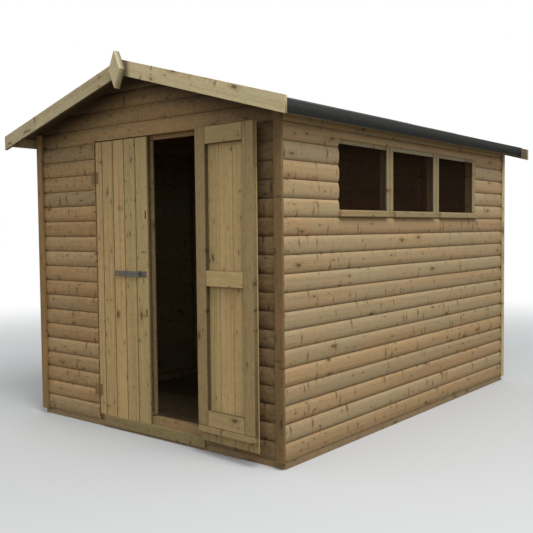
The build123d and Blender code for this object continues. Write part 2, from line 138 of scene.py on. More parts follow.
class ShedRoof(bpy.types.PropertyGroup):
    """Sizes and colours of the roof."""

    board: length("Roof board", "Width of each roof board", 0.112, 0.05)
    felt: tint("Felt", "Colour of the mineral felt", (0.0095, 0.0098, 0.0085))
    chipping: tint("Chippings", "Colour of the felt's lighter grains", (0.036, 0.037, 0.032))
    ripple: length("Ripple", "How far the felt lifts and sags", 0.0014)
    sheet: length("Sheet", "Thickness of a sheet of felt", 0.0015, 0.0005)
    lap: length("Lap", "How far the upper sheet covers the lower one", 0.075, 0.02)
    lap_line: length("Lap line", "Distance of the upper sheet's edge from the ridge", 0.62, 0.2)
    bend: length("Bend", "Radius at which the felt turns down over the eaves", 0.007, 0.001)
    clout: length("Clout head", "Radius of a clout nail's head", 0.0048, 0.001)
    clout_step: length("Clout spacing", "Distance between clout nails", 0.095, 0.02)


class ShedDoors(bpy.types.PropertyGroup):
    """Sizes of the doors' boards, frames and ironmongery."""

    first_board: length("First board", "Width of the board next to the hinges", 0.068, 0.02)
    board: length("Board", "Cover of the other boards", 0.107, 0.04)
    groove: length("Groove", "Depth of the V beside each joint of the door boards", 0.0045, 0.0005)
    gap: length("Gap", "Width of the open joint between two door boards", 0.003)
    stile: length("Stile", "Width of the door's uprights", 0.082, 0.03)
    rail: length("Rail", "Height of the door's rails", 0.090, 0.03)
    foot: length("Foot bar", "Height of the bar under the stiles", 0.040, 0.01)
    top_rail: length("Top rail", "Height of the door's top rail", 0.097, 0.03)
    middle: length("Middle rail", "Height of the middle rail above the frame's foot", 0.844, 0.1)
    astragal: length("Lapping strip", "Width of the strip behind the left stile", 0.054, 0.02)
    astragal_thickness: length("Strip thickness", "Thickness of the lapping strip", 0.016, 0.004)
    astragal_relief: length("Strip relief", "How far it is set back beyond the stile", 0.0015)
    astragal_drop: length("Strip drop", "How far it stops below the stile's top", 0.023)
    stile_inset: length("Stile inset", "How far the left stile stands back from its boards", 0.012)
    slot_width: length("Slot width", "Width of the slots in the left door", 0.013, 0.004)
    slot_height: length("Slot height", "Height of the slots in the left door", 0.052, 0.01)
    slot_inset: length("Slot inset", "Distance of the slots from the meeting edge", 0.022, 0.01)
    lower_slot: length("Lower slot", "Height of the lower slot above the door's foot", 0.676, 0.1)
    upper_slot: length("Upper slot", "Height of the upper slot above the door's foot", 1.291, 0.1)
    screw: length("Screw head", "Radius of a screw head", 0.0036, 0.001)
    hinge: length("Hinge height", "Height of a hinge", 0.075, 0.03)
    steel: tint("Steel", "Colour of the galvanised ironmongery", (0.125, 0.103, 0.084))


class ShedStage(bpy.types.PropertyGroup):
    """Floor, light and camera."""

    floor: tint("Floor", "Colour of the studio floor", (0.50, 0.50, 0.495))
    bounce: tint("Bounce", "Colour of the light that the floor throws back", (0.24, 0.22, 0.18))
    sky: FloatProperty(
        name="Sky", description="Strength of the even light from all sides", default=0.86, min=0.0,
    )
    lamp: FloatProperty(
        name="Lamp", description="Power of the large soft lamp",
        default=720.0, min=0.0, unit="POWER",
    )
    lens: FloatProperty(
        name="Lens", description="Focal length of the camera", default=50.77, min=10.0,
    )


# Shader graphs

class Value:
    """A shader socket that takes part in sums."""

    def __init__(self, shader, socket):
        self.shader = shader
        self.socket = socket

    def maths(self, operation, *values):
        return self.shader.node("ShaderNodeMath", {"operation": operation}, dict(enumerate(values)))

    def __add__(self, other):
        return self.maths("ADD", self, other)

    def __radd__(self, other):
        return self.maths("ADD", other, self)

    def __sub__(self, other):
        return self.maths("SUBTRACT", self, other)

    def __rsub__(self, other):
        return self.maths("SUBTRACT", other, self)

    def __mul__(self, other):
        return self.maths("MULTIPLY", self, other)

    def __rmul__(self, other):
        return self.maths("MULTIPLY", other, self)

    def __truediv__(self, other):
        return self.maths("DIVIDE", self, other)

    def __rtruediv__(self, other):
        return self.maths("DIVIDE", other, self)

    def __lt__(self, other):
        return self.maths("LESS_THAN", self, other)

    def __gt__(self, other):
        return self.maths("LESS_THAN", other, self)


class Shader:
    """The nodes of a material or of the world, and the one method that adds to them."""

    def __init__(self, owner):
        owner.use_nodes = True
        self.owner = owner
        self.tree = owner.node_tree
        self.tree.nodes.clear()

    def node(self, kind, settings=None, inputs=None, output=0):
        made = self.tree.nodes.new(kind)
        for key, value in (settings or {}).items():
            setattr(made, key, value)
        for key, value in (inputs or {}).items():
            if isinstance(value, Value):
                self.tree.links.new(value.socket, made.inputs[key])
            else:
                made.inputs[key].default_value = value
        return Value(self, made.outputs[output])

    def place(self):
        """The Object coordinates."""
        return self.node("ShaderNodeTexCoord", output="Object")

    def step(self, value, start, end):
        """0 at start and 1 at end, smooth between them."""
        settings = {"interpolation_type": "SMOOTHSTEP", "clamp": True}
        inputs = {0: value, 1: start, 2: end, 3: 0.0, 4: 1.0}
        return self.node("ShaderNodeMapRange", settings, inputs)

    def mix(self, factor, first, second, blend="MIX"):
        """Two colours mixed."""
        settings = {"data_type": "RGBA", "blend_type": blend}
        inputs = {0: factor, 6: opaque(first), 7: opaque(second)}
        return self.node("ShaderNodeMix", settings, inputs, 2)

    def vector(self, operation, first, second):
        return self.node("ShaderNodeVectorMath", {"operation": operation}, {0: first, 1: second})

    def noise(self, coordinates, scale, detail, roughness, output=0):
        inputs = {"Vector": coordinates, "Scale": scale, "Detail": detail, "Roughness": roughness}
        return self.node("ShaderNodeTexNoise", {"noise_dimensions": "3D"}, inputs, output)

    def stretched(self, coordinates, scale, detail, roughness):
        """Noise with its own scale along each axis."""
        inputs = {0: coordinates, 3: scale}
        mapped = self.node("ShaderNodeMapping", {"vector_type": "POINT"}, inputs)
        return self.noise(mapped, 1.0, detail, roughness)

    def cells(self, coordinates, scale):
        """A random number for each cell of a pattern of grains."""
        inputs = {"Vector": coordinates, "Scale": scale}
        return self.split(self.node("ShaderNodeTexVoronoi", {"feature": "F1"}, inputs, "Color"))[0]

    def split(self, coordinates):
        node = self.node("ShaderNodeSeparateXYZ", {}, {0: coordinates}).socket.node
        return [Value(self, output) for output in node.outputs]

    def joined(self, x, y, z):
        return self.node("ShaderNodeCombineXYZ", {}, {0: x, 1: y, 2: z})

    def attribute(self, name):
        return self.node("ShaderNodeAttribute", {"attribute_name": name}, {}, "Vector")

    def bump(self, height, strength, distance):
        inputs = {"Height": height, "Strength": strength, "Distance": distance}
        return self.node("ShaderNodeBump", {}, inputs)

    def surface(self, inputs):
        return self.node("ShaderNodeBsdfPrincipled", {}, inputs)

    def close(self, surface, kind="ShaderNodeOutputMaterial"):
        """Adds the output and gives back the finished material or world."""
        output = self.tree.nodes.new(kind)
        self.tree.links.new(surface.socket, output.inputs["Surface"])
        return self.owner


def new_material(name):
    """The nodes of a new material."""
    return Shader(bpy.data.materials.new(name))


def opaque(colour):
    """A colour with full alpha, or a socket as it is."""
    return colour if isinstance(colour, Value) else (*colour[:3], 1.0)


def blended(first, second, share):
    """Two plain colours mixed in Python."""
    return tuple(a + (b - a) * share for a, b in zip(first, second))


# Each kind of knot: where its pattern starts, how far apart knots lie along and across
# the grain, the share of places that have one, and its size against that distance
ROUND_KNOTS = (3.1, 0.23, 0.090, 0.16, 0.110)
PIN_KNOTS = (5.3, 0.11, 0.045, 0.28, 0.100)
SPIKE_KNOTS = (8.7, 0.040, 0.15, 0.26, 0.150)


def knots(shader, grain, start, along, across, share, size):
    """Scattered knots: a mask that is 1 in the middle of each, and a wider one round it."""
    shifted = shader.vector("ADD", grain, (start, start * 0.37, 0.0))
    flat = shader.vector("MULTIPLY", shifted, (1.0 / along, 1.0 / across, 0.0))
    settings = {"voronoi_dimensions": "2D", "feature": "F1"}
    inputs = {"Vector": flat, "Scale": 1.0, "Randomness": 0.9}
    distance = shader.node("ShaderNodeTexVoronoi", settings, inputs, "Distance")
    chance, bulk, _ = shader.split(shader.node("ShaderNodeTexVoronoi", settings, inputs, "Color"))
    present = chance < share
    reach = size * (0.5 + bulk)
    core = shader.step(distance / reach, 1.0, 0.45) * present
    halo = shader.step(distance / reach, 2.6, 0.9) * present
    return core, halo


def timber_finish(name, sapwood, latewood, treatment, green, contrast, sawn, spiky, mottled):
    """Treated softwood, drawn along each board's own grain attribute.

    green is the share of treatment tint, contrast the strength of the growth rings, sawn
    the height of saw marks, spiky the share of spike knots and mottled the unevenness.
    """
    knot = bpy.context.scene.shed_timber.knot
    shader = new_material(name)
    grain = shader.attribute("grain")
    bright, hue, hidden = shader.split(shader.attribute("tone"))

    wander = shader.noise(grain, 24.0, 3.0, 0.6, "Color")
    wander = shader.vector("SUBTRACT", wander, (0.5, 0.5, 0.5))
    wild = shader.vector("ADD", grain, shader.vector("MULTIPLY", wander, (0.030, 0.030, 0.0)))
    core, halo = knots(shader, wild, *ROUND_KNOTS)
    pin, pin_halo = knots(shader, wild, *PIN_KNOTS)
    start, along, across, share, size = SPIKE_KNOTS
    spike, spike_halo = knots(shader, wild, start, along, across, share * spiky, size)

    bend = shader.stretched(grain, (1.6, 9.0, 9.0), 2.0, 0.55)
    along, across, depth = shader.split(grain)
    flow = shader.joined(along, across + (bend - 0.5) * 0.030 + halo * 0.010, depth)
    rings = shader.stretched(flow, (0.55, 46.0, 30.0), 4.0, 0.6)
    fine = shader.stretched(flow, (3.0, 420.0, 300.0), 3.0, 0.6)
    patches = shader.stretched(grain, (1.5, 7.0, 5.0), 3.0, 0.6)
    blotches = shader.stretched(grain, (4.0, 24.0, 16.0), 3.0, 0.6)
    stains = shader.stretched(grain, (14.0, 30.0, 20.0), 4.0, 0.7)
    mottle = shader.stretched(wild, (34.0, 74.0, 60.0), 4.0, 0.65)

    warm = blended(sapwood, (0.43, 0.20, 0.075), 0.62)
    layers = (
        (shader.step(rings + (fine - 0.5) * 0.22, 0.42, 0.74) * (0.55 * contrast), latewood),
        (shader.step(patches + (hue - 0.5) * 0.30, 0.40, 0.70) * green, treatment),
        (shader.step(blotches + (0.5 - hue) * 0.26, 0.50, 0.78) * 0.34, warm),
        (shader.step(stains, 0.56, 0.78) * 0.34, blended(latewood, treatment, 0.4)),
        (halo * 0.42, blended(latewood, knot, 0.15)),
        (pin_halo * 0.30, blended(latewood, knot, 0.2)),
        (spike_halo * 0.40, blended(latewood, knot, 0.25)),
        (core * 0.76, knot),
        (pin * 0.70, knot),
        (spike * 0.66, knot),
    )
    colour = sapwood
    for mask, layer in layers:
        colour = shader.mix(mask, colour, layer)
    uneven = (fine - 0.5) * 0.20 + (patches - 0.5) * 0.18
    uneven = uneven + (mottle - 0.5) * mottled + (stains - 0.5) * (0.6 * mottled)
    # hidden is painted shade: the tone's third channel, which shade() sets on points that little
    # light reaches.
    light = (0.80 + bright * 0.40 + uneven) * (1.0 - hidden * 0.6)
    colour = shader.mix(1.0, colour, shader.joined(light, light, light), "MULTIPLY")

    relief = fine * 0.5 + rings * 0.5 - core * 0.5 - spike * 0.8
    if sawn:
        relief = relief + shader.stretched(grain, (260.0, 90.0, 90.0), 2.0, 0.55) * sawn
    return shader.close(shader.surface({
        "Base Color": colour,
        "Roughness": 0.70 + (fine - 0.5) * 0.16,
        "Normal": shader.bump(relief, 0.55, 0.0012),
        "Specular IOR Level": 0.28,
    }))


def felt_finish():
    """Mineral-faced bitumen felt: dark, with lighter grains bedded in it, and painted light on its
    upward faces and towards the top of its turned-down edge.
    """
    sizes = bpy.context.scene.shed_roof
    shader = new_material("mineral_felt")
    place = shader.place()
    speck = shader.cells(place, 620.0)
    patches = shader.noise(place, 3.2, 4.0, 0.6)
    worn_and_shaded = shader.noise(place, 22.0, 4.0, 0.65)
    light = shader.step(speck, 0.45, 1.0) * 0.55
    colour = shader.mix(light, sizes.felt, sizes.chipping)
    colour = shader.mix(shader.step(patches, 0.45, 0.75) * 0.18, colour, sizes.chipping)
    bare = blended(sizes.felt, (0.0, 0.0, 0.0), 0.4)
    colour = shader.mix(shader.step(worn_and_shaded, 0.60, 0.80) * 0.35, colour, bare)
    # Painted light: the turned-down edge gets lighter towards its top, where it bends up into the
    # light.
    height = shader.split(place)[2]
    lightened = shader.step(height, FELT[0].z + 0.015, FELT[0].z + 0.070) * 0.75
    pale = shader.mix(light, (0.046, 0.048, 0.043), (0.085, 0.088, 0.080))
    colour = shader.mix(lightened, colour, pale)
    # Painted light: upward faces are mixed towards a lighter grey, as the sky lights them.
    upward = shader.split(shader.node("ShaderNodeNewGeometry", output="Normal"))[2]
    sky_lit_felt = shader.mix(0.55, colour, (0.105, 0.110, 0.102))
    colour = shader.mix(shader.step(upward, 0.25, 0.85), colour, sky_lit_felt)
    return shader.close(shader.surface({
        "Base Color": colour,
        "Roughness": 0.82 + (speck - 0.5) * 0.2,
        "Normal": shader.bump(speck * 0.5 + worn_and_shaded * 0.8, 0.6, 0.0012),
        "Specular IOR Level": 0.12,
    }))


def steel_finish(name, colour, metal, spark):
    """Galvanised steel with its spangle and dull patches."""
    shader = new_material(name)
    place = shader.place()
    facet = shader.cells(place, 210.0)
    dull = shader.noise(place, 60.0, 4.0, 0.6)
    skin = shader.mix(facet * spark, colour, blended(colour, (0.62, 0.63, 0.65), 0.55))
    grimy = blended(colour, (0.05, 0.04, 0.03), 0.4)
    return shader.close(shader.surface({
        "Base Color": shader.mix(shader.step(dull, 0.52, 0.75) * 0.6, skin, grimy),
        "Metallic": metal - shader.step(dull, 0.5, 0.8) * 0.3,
        "Specular IOR Level": 0.3,
        "Roughness": 0.42 + dull * 0.2 + facet * 0.06,
        "Normal": shader.bump(dull, 0.3, 0.0004),
    }))


def glass_finish():
    """Clear sheet with a little dust, painted a dark brown that stands in for the shaded room
    behind it and the dark reflections on it.
    """
    shader = new_material("window_pane")
    dust = shader.step(shader.noise(shader.place(), 14.0, 5.0, 0.7), 0.5, 0.9)
    return shader.close(shader.surface({
        "Base Color": shader.mix(dust, (0.034, 0.020, 0.012), (0.052, 0.034, 0.022)),
        "Roughness": 0.03 + dust * 0.06,
        "Alpha": 0.27 + dust * 0.08,
        "Specular IOR Level": 0.0,
    }))


FINISHES = {}


def timbers():
    """Each kind of timber, in the order that timber_finish takes its values."""
    sizes = bpy.context.scene.shed_timber
    sap, late, treat, knot = sizes.sapwood, sizes.latewood, sizes.treatment, sizes.knot
    # The front wall's copy of the loglap is darker and browner: painted shade, as the front gets
    # less light than the sides.
    shaded = blended(sap, (0.335, 0.185, 0.062), 0.42)
    # The corner strips' darker browns are partly their own colour and partly painted shade: the
    # front-right strip beside the open leaf keeps them, and lifts make the other strips lighter.
    brown = blended(sap, (0.160, 0.094, 0.034), 0.88)
    worn_and_shaded = blended(late, knot, 0.5), blended(treat, late, 0.5)
    return {
        "loglap": ("treated_loglap", sap, late, treat, 0.50, 1.0, 0.0, 0.85, 0.42),
        "front_loglap": ("shaded_loglap", shaded, late, treat, 0.3, 1.0, 0.0, 1.0, 0.85),
        "framing": (
            "sawn_framing", blended(sap, knot, 0.40), blended(late, knot, 0.3), treat,
            0.30, 0.8, 0.5, 0.35, 0.6,
        ),
        "roof_board": (
            "roof_boards", blended(sap, late, 0.6), late, treat,
            0.30, 0.8, 0.5, 0.35, 0.6,
        ),
        "corner": ("corner_strip", brown, *worn_and_shaded, 0.4, 0.9, 0.0, 0.35, 0.6),
        "trim": (
            "treated_trim", (0.505, 0.412, 0.232), late, (0.425, 0.370, 0.222),
            0.75, 0.7, 0.2, 0.5, 0.6,
        ),
        "sill": (
            "door_sill", (0.265, 0.195, 0.088), late, (0.235, 0.185, 0.080),
            0.75, 0.9, 0.2, 0.3, 0.6,
        ),
        "window_trim": (
            "window_trim", (0.292, 0.218, 0.105), late, (0.240, 0.192, 0.098),
            0.75, 0.7, 0.2, 0.2, 0.6,
        ),
        "door_board": (
            "door_matchboard", (0.455, 0.310, 0.138), late, (0.375, 0.300, 0.125),
            0.45, 1.1, 0.0, 0.06, 0.6,
        ),
        "door_frame": (
            "door_framing", (0.370, 0.262, 0.120), late, (0.275, 0.215, 0.090),
            0.75, 0.8, 0.15, 0.12, 0.6,
        ),
    }


def metals():
    """Each kind of steel, in the order that steel_finish takes its values."""
    return {
        "steel": ("galvanised_steel", bpy.context.scene.shed_doors.steel, 0.8, 0.5),
        "dull_steel": ("dull_steel", (0.225, 0.145, 0.062), 0.0, 0.0),
        "clout": ("clout_heads", (0.022, 0.024, 0.023), 0.3, 0.02),
        "nail": ("nail_heads", (0.055, 0.038, 0.026), 0.4, 0.05),
    }


def finish(name):
    """The material of that name, made when it is first asked for."""
    if name not in FINISHES:
        if name in timbers():
            FINISHES[name] = timber_finish(*timbers()[name])
        elif name in metals():
            FINISHES[name] = steel_finish(*metals()[name])
        else:
            FINISHES[name] = {"felt": felt_finish, "glass": glass_finish}[name]()
    return FINISHES[name]


# Meshes

def tagged():
    """A bmesh whose points can carry a grain and a tone."""
    bm = bmesh.new()
    bm.verts.layers.float_vector.new("grain")
    bm.verts.layers.float_vector.new("tone")
    return bm


def grained(bm, along, up, seed, lift=0.0):
    """Gives every point of one board its place along, across and through the grain."""
    dice = random.Random(seed)
    along = Vector(along).normalized()
    depth = along.cross(Vector(up)).normalized()
    across = depth.cross(along).normalized()
    shift = Vector((dice.uniform(0.0, 40.0), dice.uniform(0.0, 20.0), dice.uniform(0.0, 20.0)))
    bright = min(max(dice.gauss(0.5, 0.12), 0.05), 0.95) + lift
    hue = dice.random()
    grain_layer = bm.verts.layers.float_vector["grain"]
    tone_layer = bm.verts.layers.float_vector["tone"]
    for vert in bm.verts:
        place = Vector((vert.co.dot(along), vert.co.dot(across), vert.co.dot(depth)))
        vert[grain_layer] = place + shift
        vert[tone_layer] = Vector((bright, hue, vert[tone_layer].z))


def shade(bm, amount, hidden):
    """Marks the points that stay in the dark, such as joints and reveals."""
    layer = bm.verts.layers.float_vector["tone"]
    for vert in bm.verts:
        if hidden(vert.co):
            vert[layer] = Vector((0.0, 0.0, amount))


def score(bm, point, normal, clear=False):
    """Splits the faces along a plane. With clear, what the normal points to is lost."""
    made = bmesh.ops.bisect_plane(
        bm, geom=bm.verts[:] + bm.edges[:] + bm.faces[:], dist=1e-6,
        plane_co=point, plane_no=normal, clear_outer=clear,
    )
    return [e for e in made["geom_cut"] if isinstance(e, bmesh.types.BMEdge)]


def cut(bm, point, normal):
    """Cuts a closed board off at a plane. What the normal points to is lost."""
    edges = score(bm, point, normal, True)
    if edges:
        bmesh.ops.edgeloop_fill(bm, edges=edges)


def bevelled(bm, edges, width, segments=1):
    """Takes a strip off the given edges."""
    bmesh.ops.bevel(
        bm, geom=edges, offset=width, segments=segments, affect="EDGES",
        profile=0.5, material=-1, clamp_overlap=True,
    )


def soften(bm, width, segments=1):
    """Rounds every edge that is sharper than 30 degrees."""
    limit = math.radians(30.0)
    sharp = [e for e in bm.edges if e.is_manifold and e.calc_face_angle(0.0) > limit]
    bevelled(bm, sharp, width, segments)


def cuboid(low, high):
    """A squared timber between two corners, ready to be shaped."""
    bm = tagged()
    bmesh.ops.create_cube(bm, size=1.0)
    size = Vector(high) - Vector(low)
    bmesh.ops.scale(bm, verts=bm.verts, vec=size)
    bmesh.ops.translate(bm, verts=bm.verts, vec=(Vector(low) + Vector(high)) / 2)
    return bm


def gather(target, board):
    """Adds a finished board to a growing mesh."""
    spare = bpy.data.meshes.new("spare")
    board.to_mesh(spare)
    board.free()
    target.from_mesh(spare)
    bpy.data.meshes.remove(spare)


def piece(name, bm, material, body, replaced=(), smooth=None):
    """Makes the object for a finished mesh, hangs it on its body and hides the CAD nodes that it
    replaces.
    """
    bmesh.ops.recalc_face_normals(bm, faces=bm.faces)
    mesh = bpy.data.meshes.new(name)
    bm.to_mesh(mesh)
    bm.free()
    if smooth is not None:
        mesh.shade_smooth()
        mesh.set_sharp_from_angle(angle=math.radians(smooth))
    mesh.materials.append(finish(material))
    made = bpy.data.objects.new(name, mesh)
    bpy.context.scene.collection.objects.link(made)
    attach(made, body)
    if replaced:
        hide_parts(*replaced)
    return made


def head(target, place, facing, radius, height, sides=8):
    """A nail or screw head that stands on a surface."""
    turn = Vector(UPWARDS).rotation_difference(Vector(facing)).to_matrix().to_4x4()
    middle = Vector(place) + Vector(facing) * height / 2
    bmesh.ops.create_cone(
        target, cap_ends=True, cap_tris=False, segments=sides, radius1=radius,
        radius2=radius * 0.72, depth=height, matrix=Matrix.Translation(middle) @ turn,
    )


def middle_of(verts):
    """The mean place of some points."""
    return sum((v.co for v in verts), Vector()) / len(verts)


def solids(node):
    """Each separate solid of a CAD node as a merged bmesh of its own."""
    whole = bmesh.new()
    whole.from_mesh(frame["nodes"][node].data)
    bmesh.ops.remove_doubles(whole, verts=whole.verts, dist=1e-5)
    whole.verts.ensure_lookup_table()
    waiting = set(whole.verts)
    groups = []
    while waiting:
        front = [waiting.pop()]
        group = set(front)
        while front:
            near = {v for e in front.pop().link_edges for v in e.verts} & waiting
            waiting -= near
            group |= near
            front.extend(near)
        groups.append(group)
    # The shift keeps the rounding off ties, so that the order is the same in every run
    groups.sort(key=lambda group: tuple(round(v + 0.0001, 3) for v in middle_of(group)))
    made = []
    for group in groups:
        keep = {v.index for v in group}
        copy = whole.copy()
        lost = [v for v in copy.verts if v.index not in keep]
        bmesh.ops.delete(copy, geom=lost, context="VERTS")
        bmesh.ops.dissolve_limit(
            copy, angle_limit=math.radians(1.0), verts=copy.verts, edges=copy.edges,
            delimit={"NORMAL"},
        )
        part = tagged()
        gather(part, copy)
        made.append(part)
    whole.free()
    return made


def direction(bm):
    """The way a timber's longest edge runs."""
    longest = max(bm.edges, key=lambda e: e.calc_length())
    return (longest.verts[1].co - longest.verts[0].co).normalized()


def across_of(along):
    """A direction square to the grain, for the board's width."""
    return Vector(UPWARDS if abs(along.z) < 0.8 else SIDEWAYS)


def dress(name, nodes, material, along=None, slopes=(), seams=(), hidden=None, lifts=()):
    """Timbers that keep their CAD form, with rounded arrises and their own grain.

    slopes are planes that cut them off and seams planes that only split their faces;
    hidden says which places stay dark, and lifts make single timbers lighter.
    """
    target = tagged()
    timbers = [(node, solid) for node in nodes for solid in solids(node)]
    for count, (node, solid) in enumerate(timbers):
        run = Vector(along) if along else direction(solid)
        for point, normal in slopes:
            cut(solid, point, normal)
        soften(solid, bpy.context.scene.shed_timber.arris)
        for point, normal in seams:
            score(solid, point, normal)
        if hidden:
            shade(solid, HIDDEN, hidden)
        lift = lifts[count] if count < len(lifts) else 0.0
        grained(solid, run, across_of(run), f"{node} {count}", lift)
        gather(target, solid)
    return piece(name, target, material, "shed", nodes)


def paint(node, material):
    """Gives a CAD node that is kept as it is its finish."""
    materials = frame["nodes"][node].data.materials
    materials.clear()
    materials.append(finish(material))


# Wall boards

WALL_TURNS = {"front": 0.0, "right": 90.0, "back": 180.0, "left": -90.0}


def barrel(sizes, x0, x1, base, top, face, thickness):
    """One barrel-faced board of a wall that faces -Y, from x0 to x1."""
    bm = tagged()
    chord = top - sizes.joint - base
    sagitta = sizes.groove
    radius = chord ** 2 / (8 * sagitta) + sagitta / 2
    sweep = 2 * math.asin(chord / (2 * radius))
    centre = Vector((x0, -face + radius, (base + top - sizes.joint) / 2))
    start = bm.verts.new((x0, -face + sagitta, base))
    bmesh.ops.spin(
        bm, geom=[start], cent=centre, axis=(-1, 0, 0), dvec=(0, 0, 0),
        angle=sweep, steps=12, use_merge=False, use_duplicate=False,
    )
    bm.verts.ensure_lookup_table()
    chain = sorted(bm.verts, key=lambda v: v.co.z)
    for vert in chain:
        vert.co.y = -face + sagitta * abs(2 * (vert.co.z - centre.z) / chord) ** sizes.fullness
    chain[0].co.y += sizes.edge_roll
    chain[-1].co.y += sizes.edge_roll
    deep = -face + sagitta + sizes.joint_depth
    corners = [
        (x0, deep, top - sizes.joint), (x0, deep, top),
        (x0, -face + thickness, top), (x0, -face + thickness, base),
    ]
    last = chain[-1]
    for corner in corners:
        nearer = bm.verts.new(corner)
        bm.edges.new((last, nearer))
        last = nearer
    bm.edges.new((last, chain[0]))
    # Painted shade on the joint's deep flat and on the board's inner face, and a little at its
    # lower lip.
    shade(bm, WALL_JOINT, lambda place: place.y > deep - 1e-5)
    shade(bm, WALL_BOARD_FOOT, lambda place: place.y < deep - 1e-5 and place.z < base + 1e-5)
    section = bmesh.ops.contextual_create(bm, geom=bm.edges[:])["faces"]
    extruded = bmesh.ops.extrude_face_region(bm, geom=section, use_keep_orig=True)
    moved = [v for v in extruded["geom"] if isinstance(v, bmesh.types.BMVert)]
    bmesh.ops.translate(bm, verts=moved, vec=(x1 - x0, 0, 0))
    return bm


def courses(sizes, regions):
    """The lower and upper edge of each course of wall boards."""
    top = max(region[3] for region in regions)
    low = WALL_BASE
    high = WALL_BASE + sizes.first_course
    while low < top - 0.001:
        yield low, high
        low, high = high, high + sizes.cover


def under_roof(board):
    """Darkens a gable's board step by step towards the roof, whose overhang shades it."""
    for depth, _ in ROOF_SHADOW:
        for sign in (-1.0, 1.0):
            score(board, (0, 0, PEAK - depth), (sign * ROOF_FALL, 0, 1))
    layer = board.verts.layers.float_vector["tone"]
    for vert in board.verts:
        depth = roof_height(vert.co.x) - vert.co.z
        shadow = ROOF_SHADOW[0][1] if depth < ROOF_SHADOW[0][0] else 0.0
        for (near, dark), (far, light) in zip(ROOF_SHADOW, ROOF_SHADOW[1:]):
            if near <= depth < far:
                shadow = dark + (light - dark) * (depth - near) / (far - near)
        if shadow > vert[layer].z:
            vert[layer] = Vector((0.0, 0.0, shadow))


def clad(target, sizes, side, regions, face, slopes):
    """Boards a wall, region by region. A region is (x0, x1, z0, z1) as seen from outside."""
    turn = Matrix.Rotation(math.radians(WALL_TURNS[side]), 4, "Z")
    thickness = HALF_WIDTH - BOARD_BACK
    for index, (low, high) in enumerate(courses(sizes, regions)):
        lean = random.Random(f"{side} course {index}").uniform(0.0, 0.0006)
        for x0, x1, z0, z1 in regions:
            if min(high, z1) - max(low, z0) < 0.001:
                continue
            board = barrel(sizes, x0, x1, low, high, face - lean, thickness - lean)
            if z0 > low:
                cut(board, (0, 0, z0), (0, 0, -1))
            if z1 < high:
                cut(board, (0, 0, z1), UPWARDS)
            for point, normal in slopes:
                cut(board, point, normal)
            if not board.faces:
                board.free()
                continue
            if slopes:
                under_roof(board)
            bmesh.ops.transform(board, matrix=turn, verts=board.verts)
            # The open leaf keeps the light from the narrow wall beside it
            beside_leaf = side == "front" and x1 - x0 < 0.7 and x0 > 0
            lift = -0.95 if beside_leaf else 0.0
            grained(board, turn @ Vector(SIDEWAYS), UPWARDS, f"{side} course {index}", lift)
            gather(target, board)


def wall_posts(side):
    """Where the posts behind a wall stand, along that wall as seen from outside."""
    turn = Matrix.Rotation(math.radians(-WALL_TURNS[side]), 4, "Z")
    distance = HALF_LENGTH if side in ("front", "back") else HALF_WIDTH
    places = set()
    for node in ("front_studs", "back_studs", "side_studs"):
        for solid in solids(node):
            local = turn @ middle_of(solid.verts)
            solid.free()
            if local.y < -distance * 0.9:
                places.add(round(local.x, 4))
    return sorted(places)


def nail(target, sizes, side, regions, face, slopes):
    """Two nails through each board at every post."""
    turn = Matrix.Rotation(math.radians(WALL_TURNS[side]), 4, "Z")
    facing = turn @ Vector((0, -1, 0))
    margin = 0.008
    for index, (low, high) in enumerate(courses(sizes, regions)):
        dice = random.Random(f"{side} nails {index}")
        chord = high - sizes.joint - low
        for x in wall_posts(side):
            for share in (0.27, 0.72):
                place = Vector((x + dice.uniform(-0.009, 0.009), 0, 0))
                place.z = low + chord * (share + dice.uniform(-0.04, 0.04))
                back = sizes.groove * abs(2 * (place.z - low) / chord - 1) ** sizes.fullness
                place.y = -face + back + 0.0006
                held = any(
                    x0 + margin < place.x < x1 - margin and z0 + margin < place.z < z1 - margin
                    for x0, x1, z0, z1 in regions
                )
                clear = all((place - point).dot(normal) < -0.01 for point, normal in slopes)
                if held and clear:
                    head(target, turn @ place, facing, sizes.nail, 0.0014)


def roof_height(x):
    """Height of the roof boards' underside at a distance x from the ridge."""
    return PEAK - ROOF_FALL * abs(x)


def roof_planes():
    """The roof boards' underside, right and left, as cutting planes."""
    slope = Vector((BOARD_BACK, 0, roof_height(BOARD_BACK) - PEAK)).normalized()
    peak = Vector((0, 0, PEAK))
    return [(peak, Vector((-side * slope.z, 0, slope.x))) for side in (1.0, -1.0)]


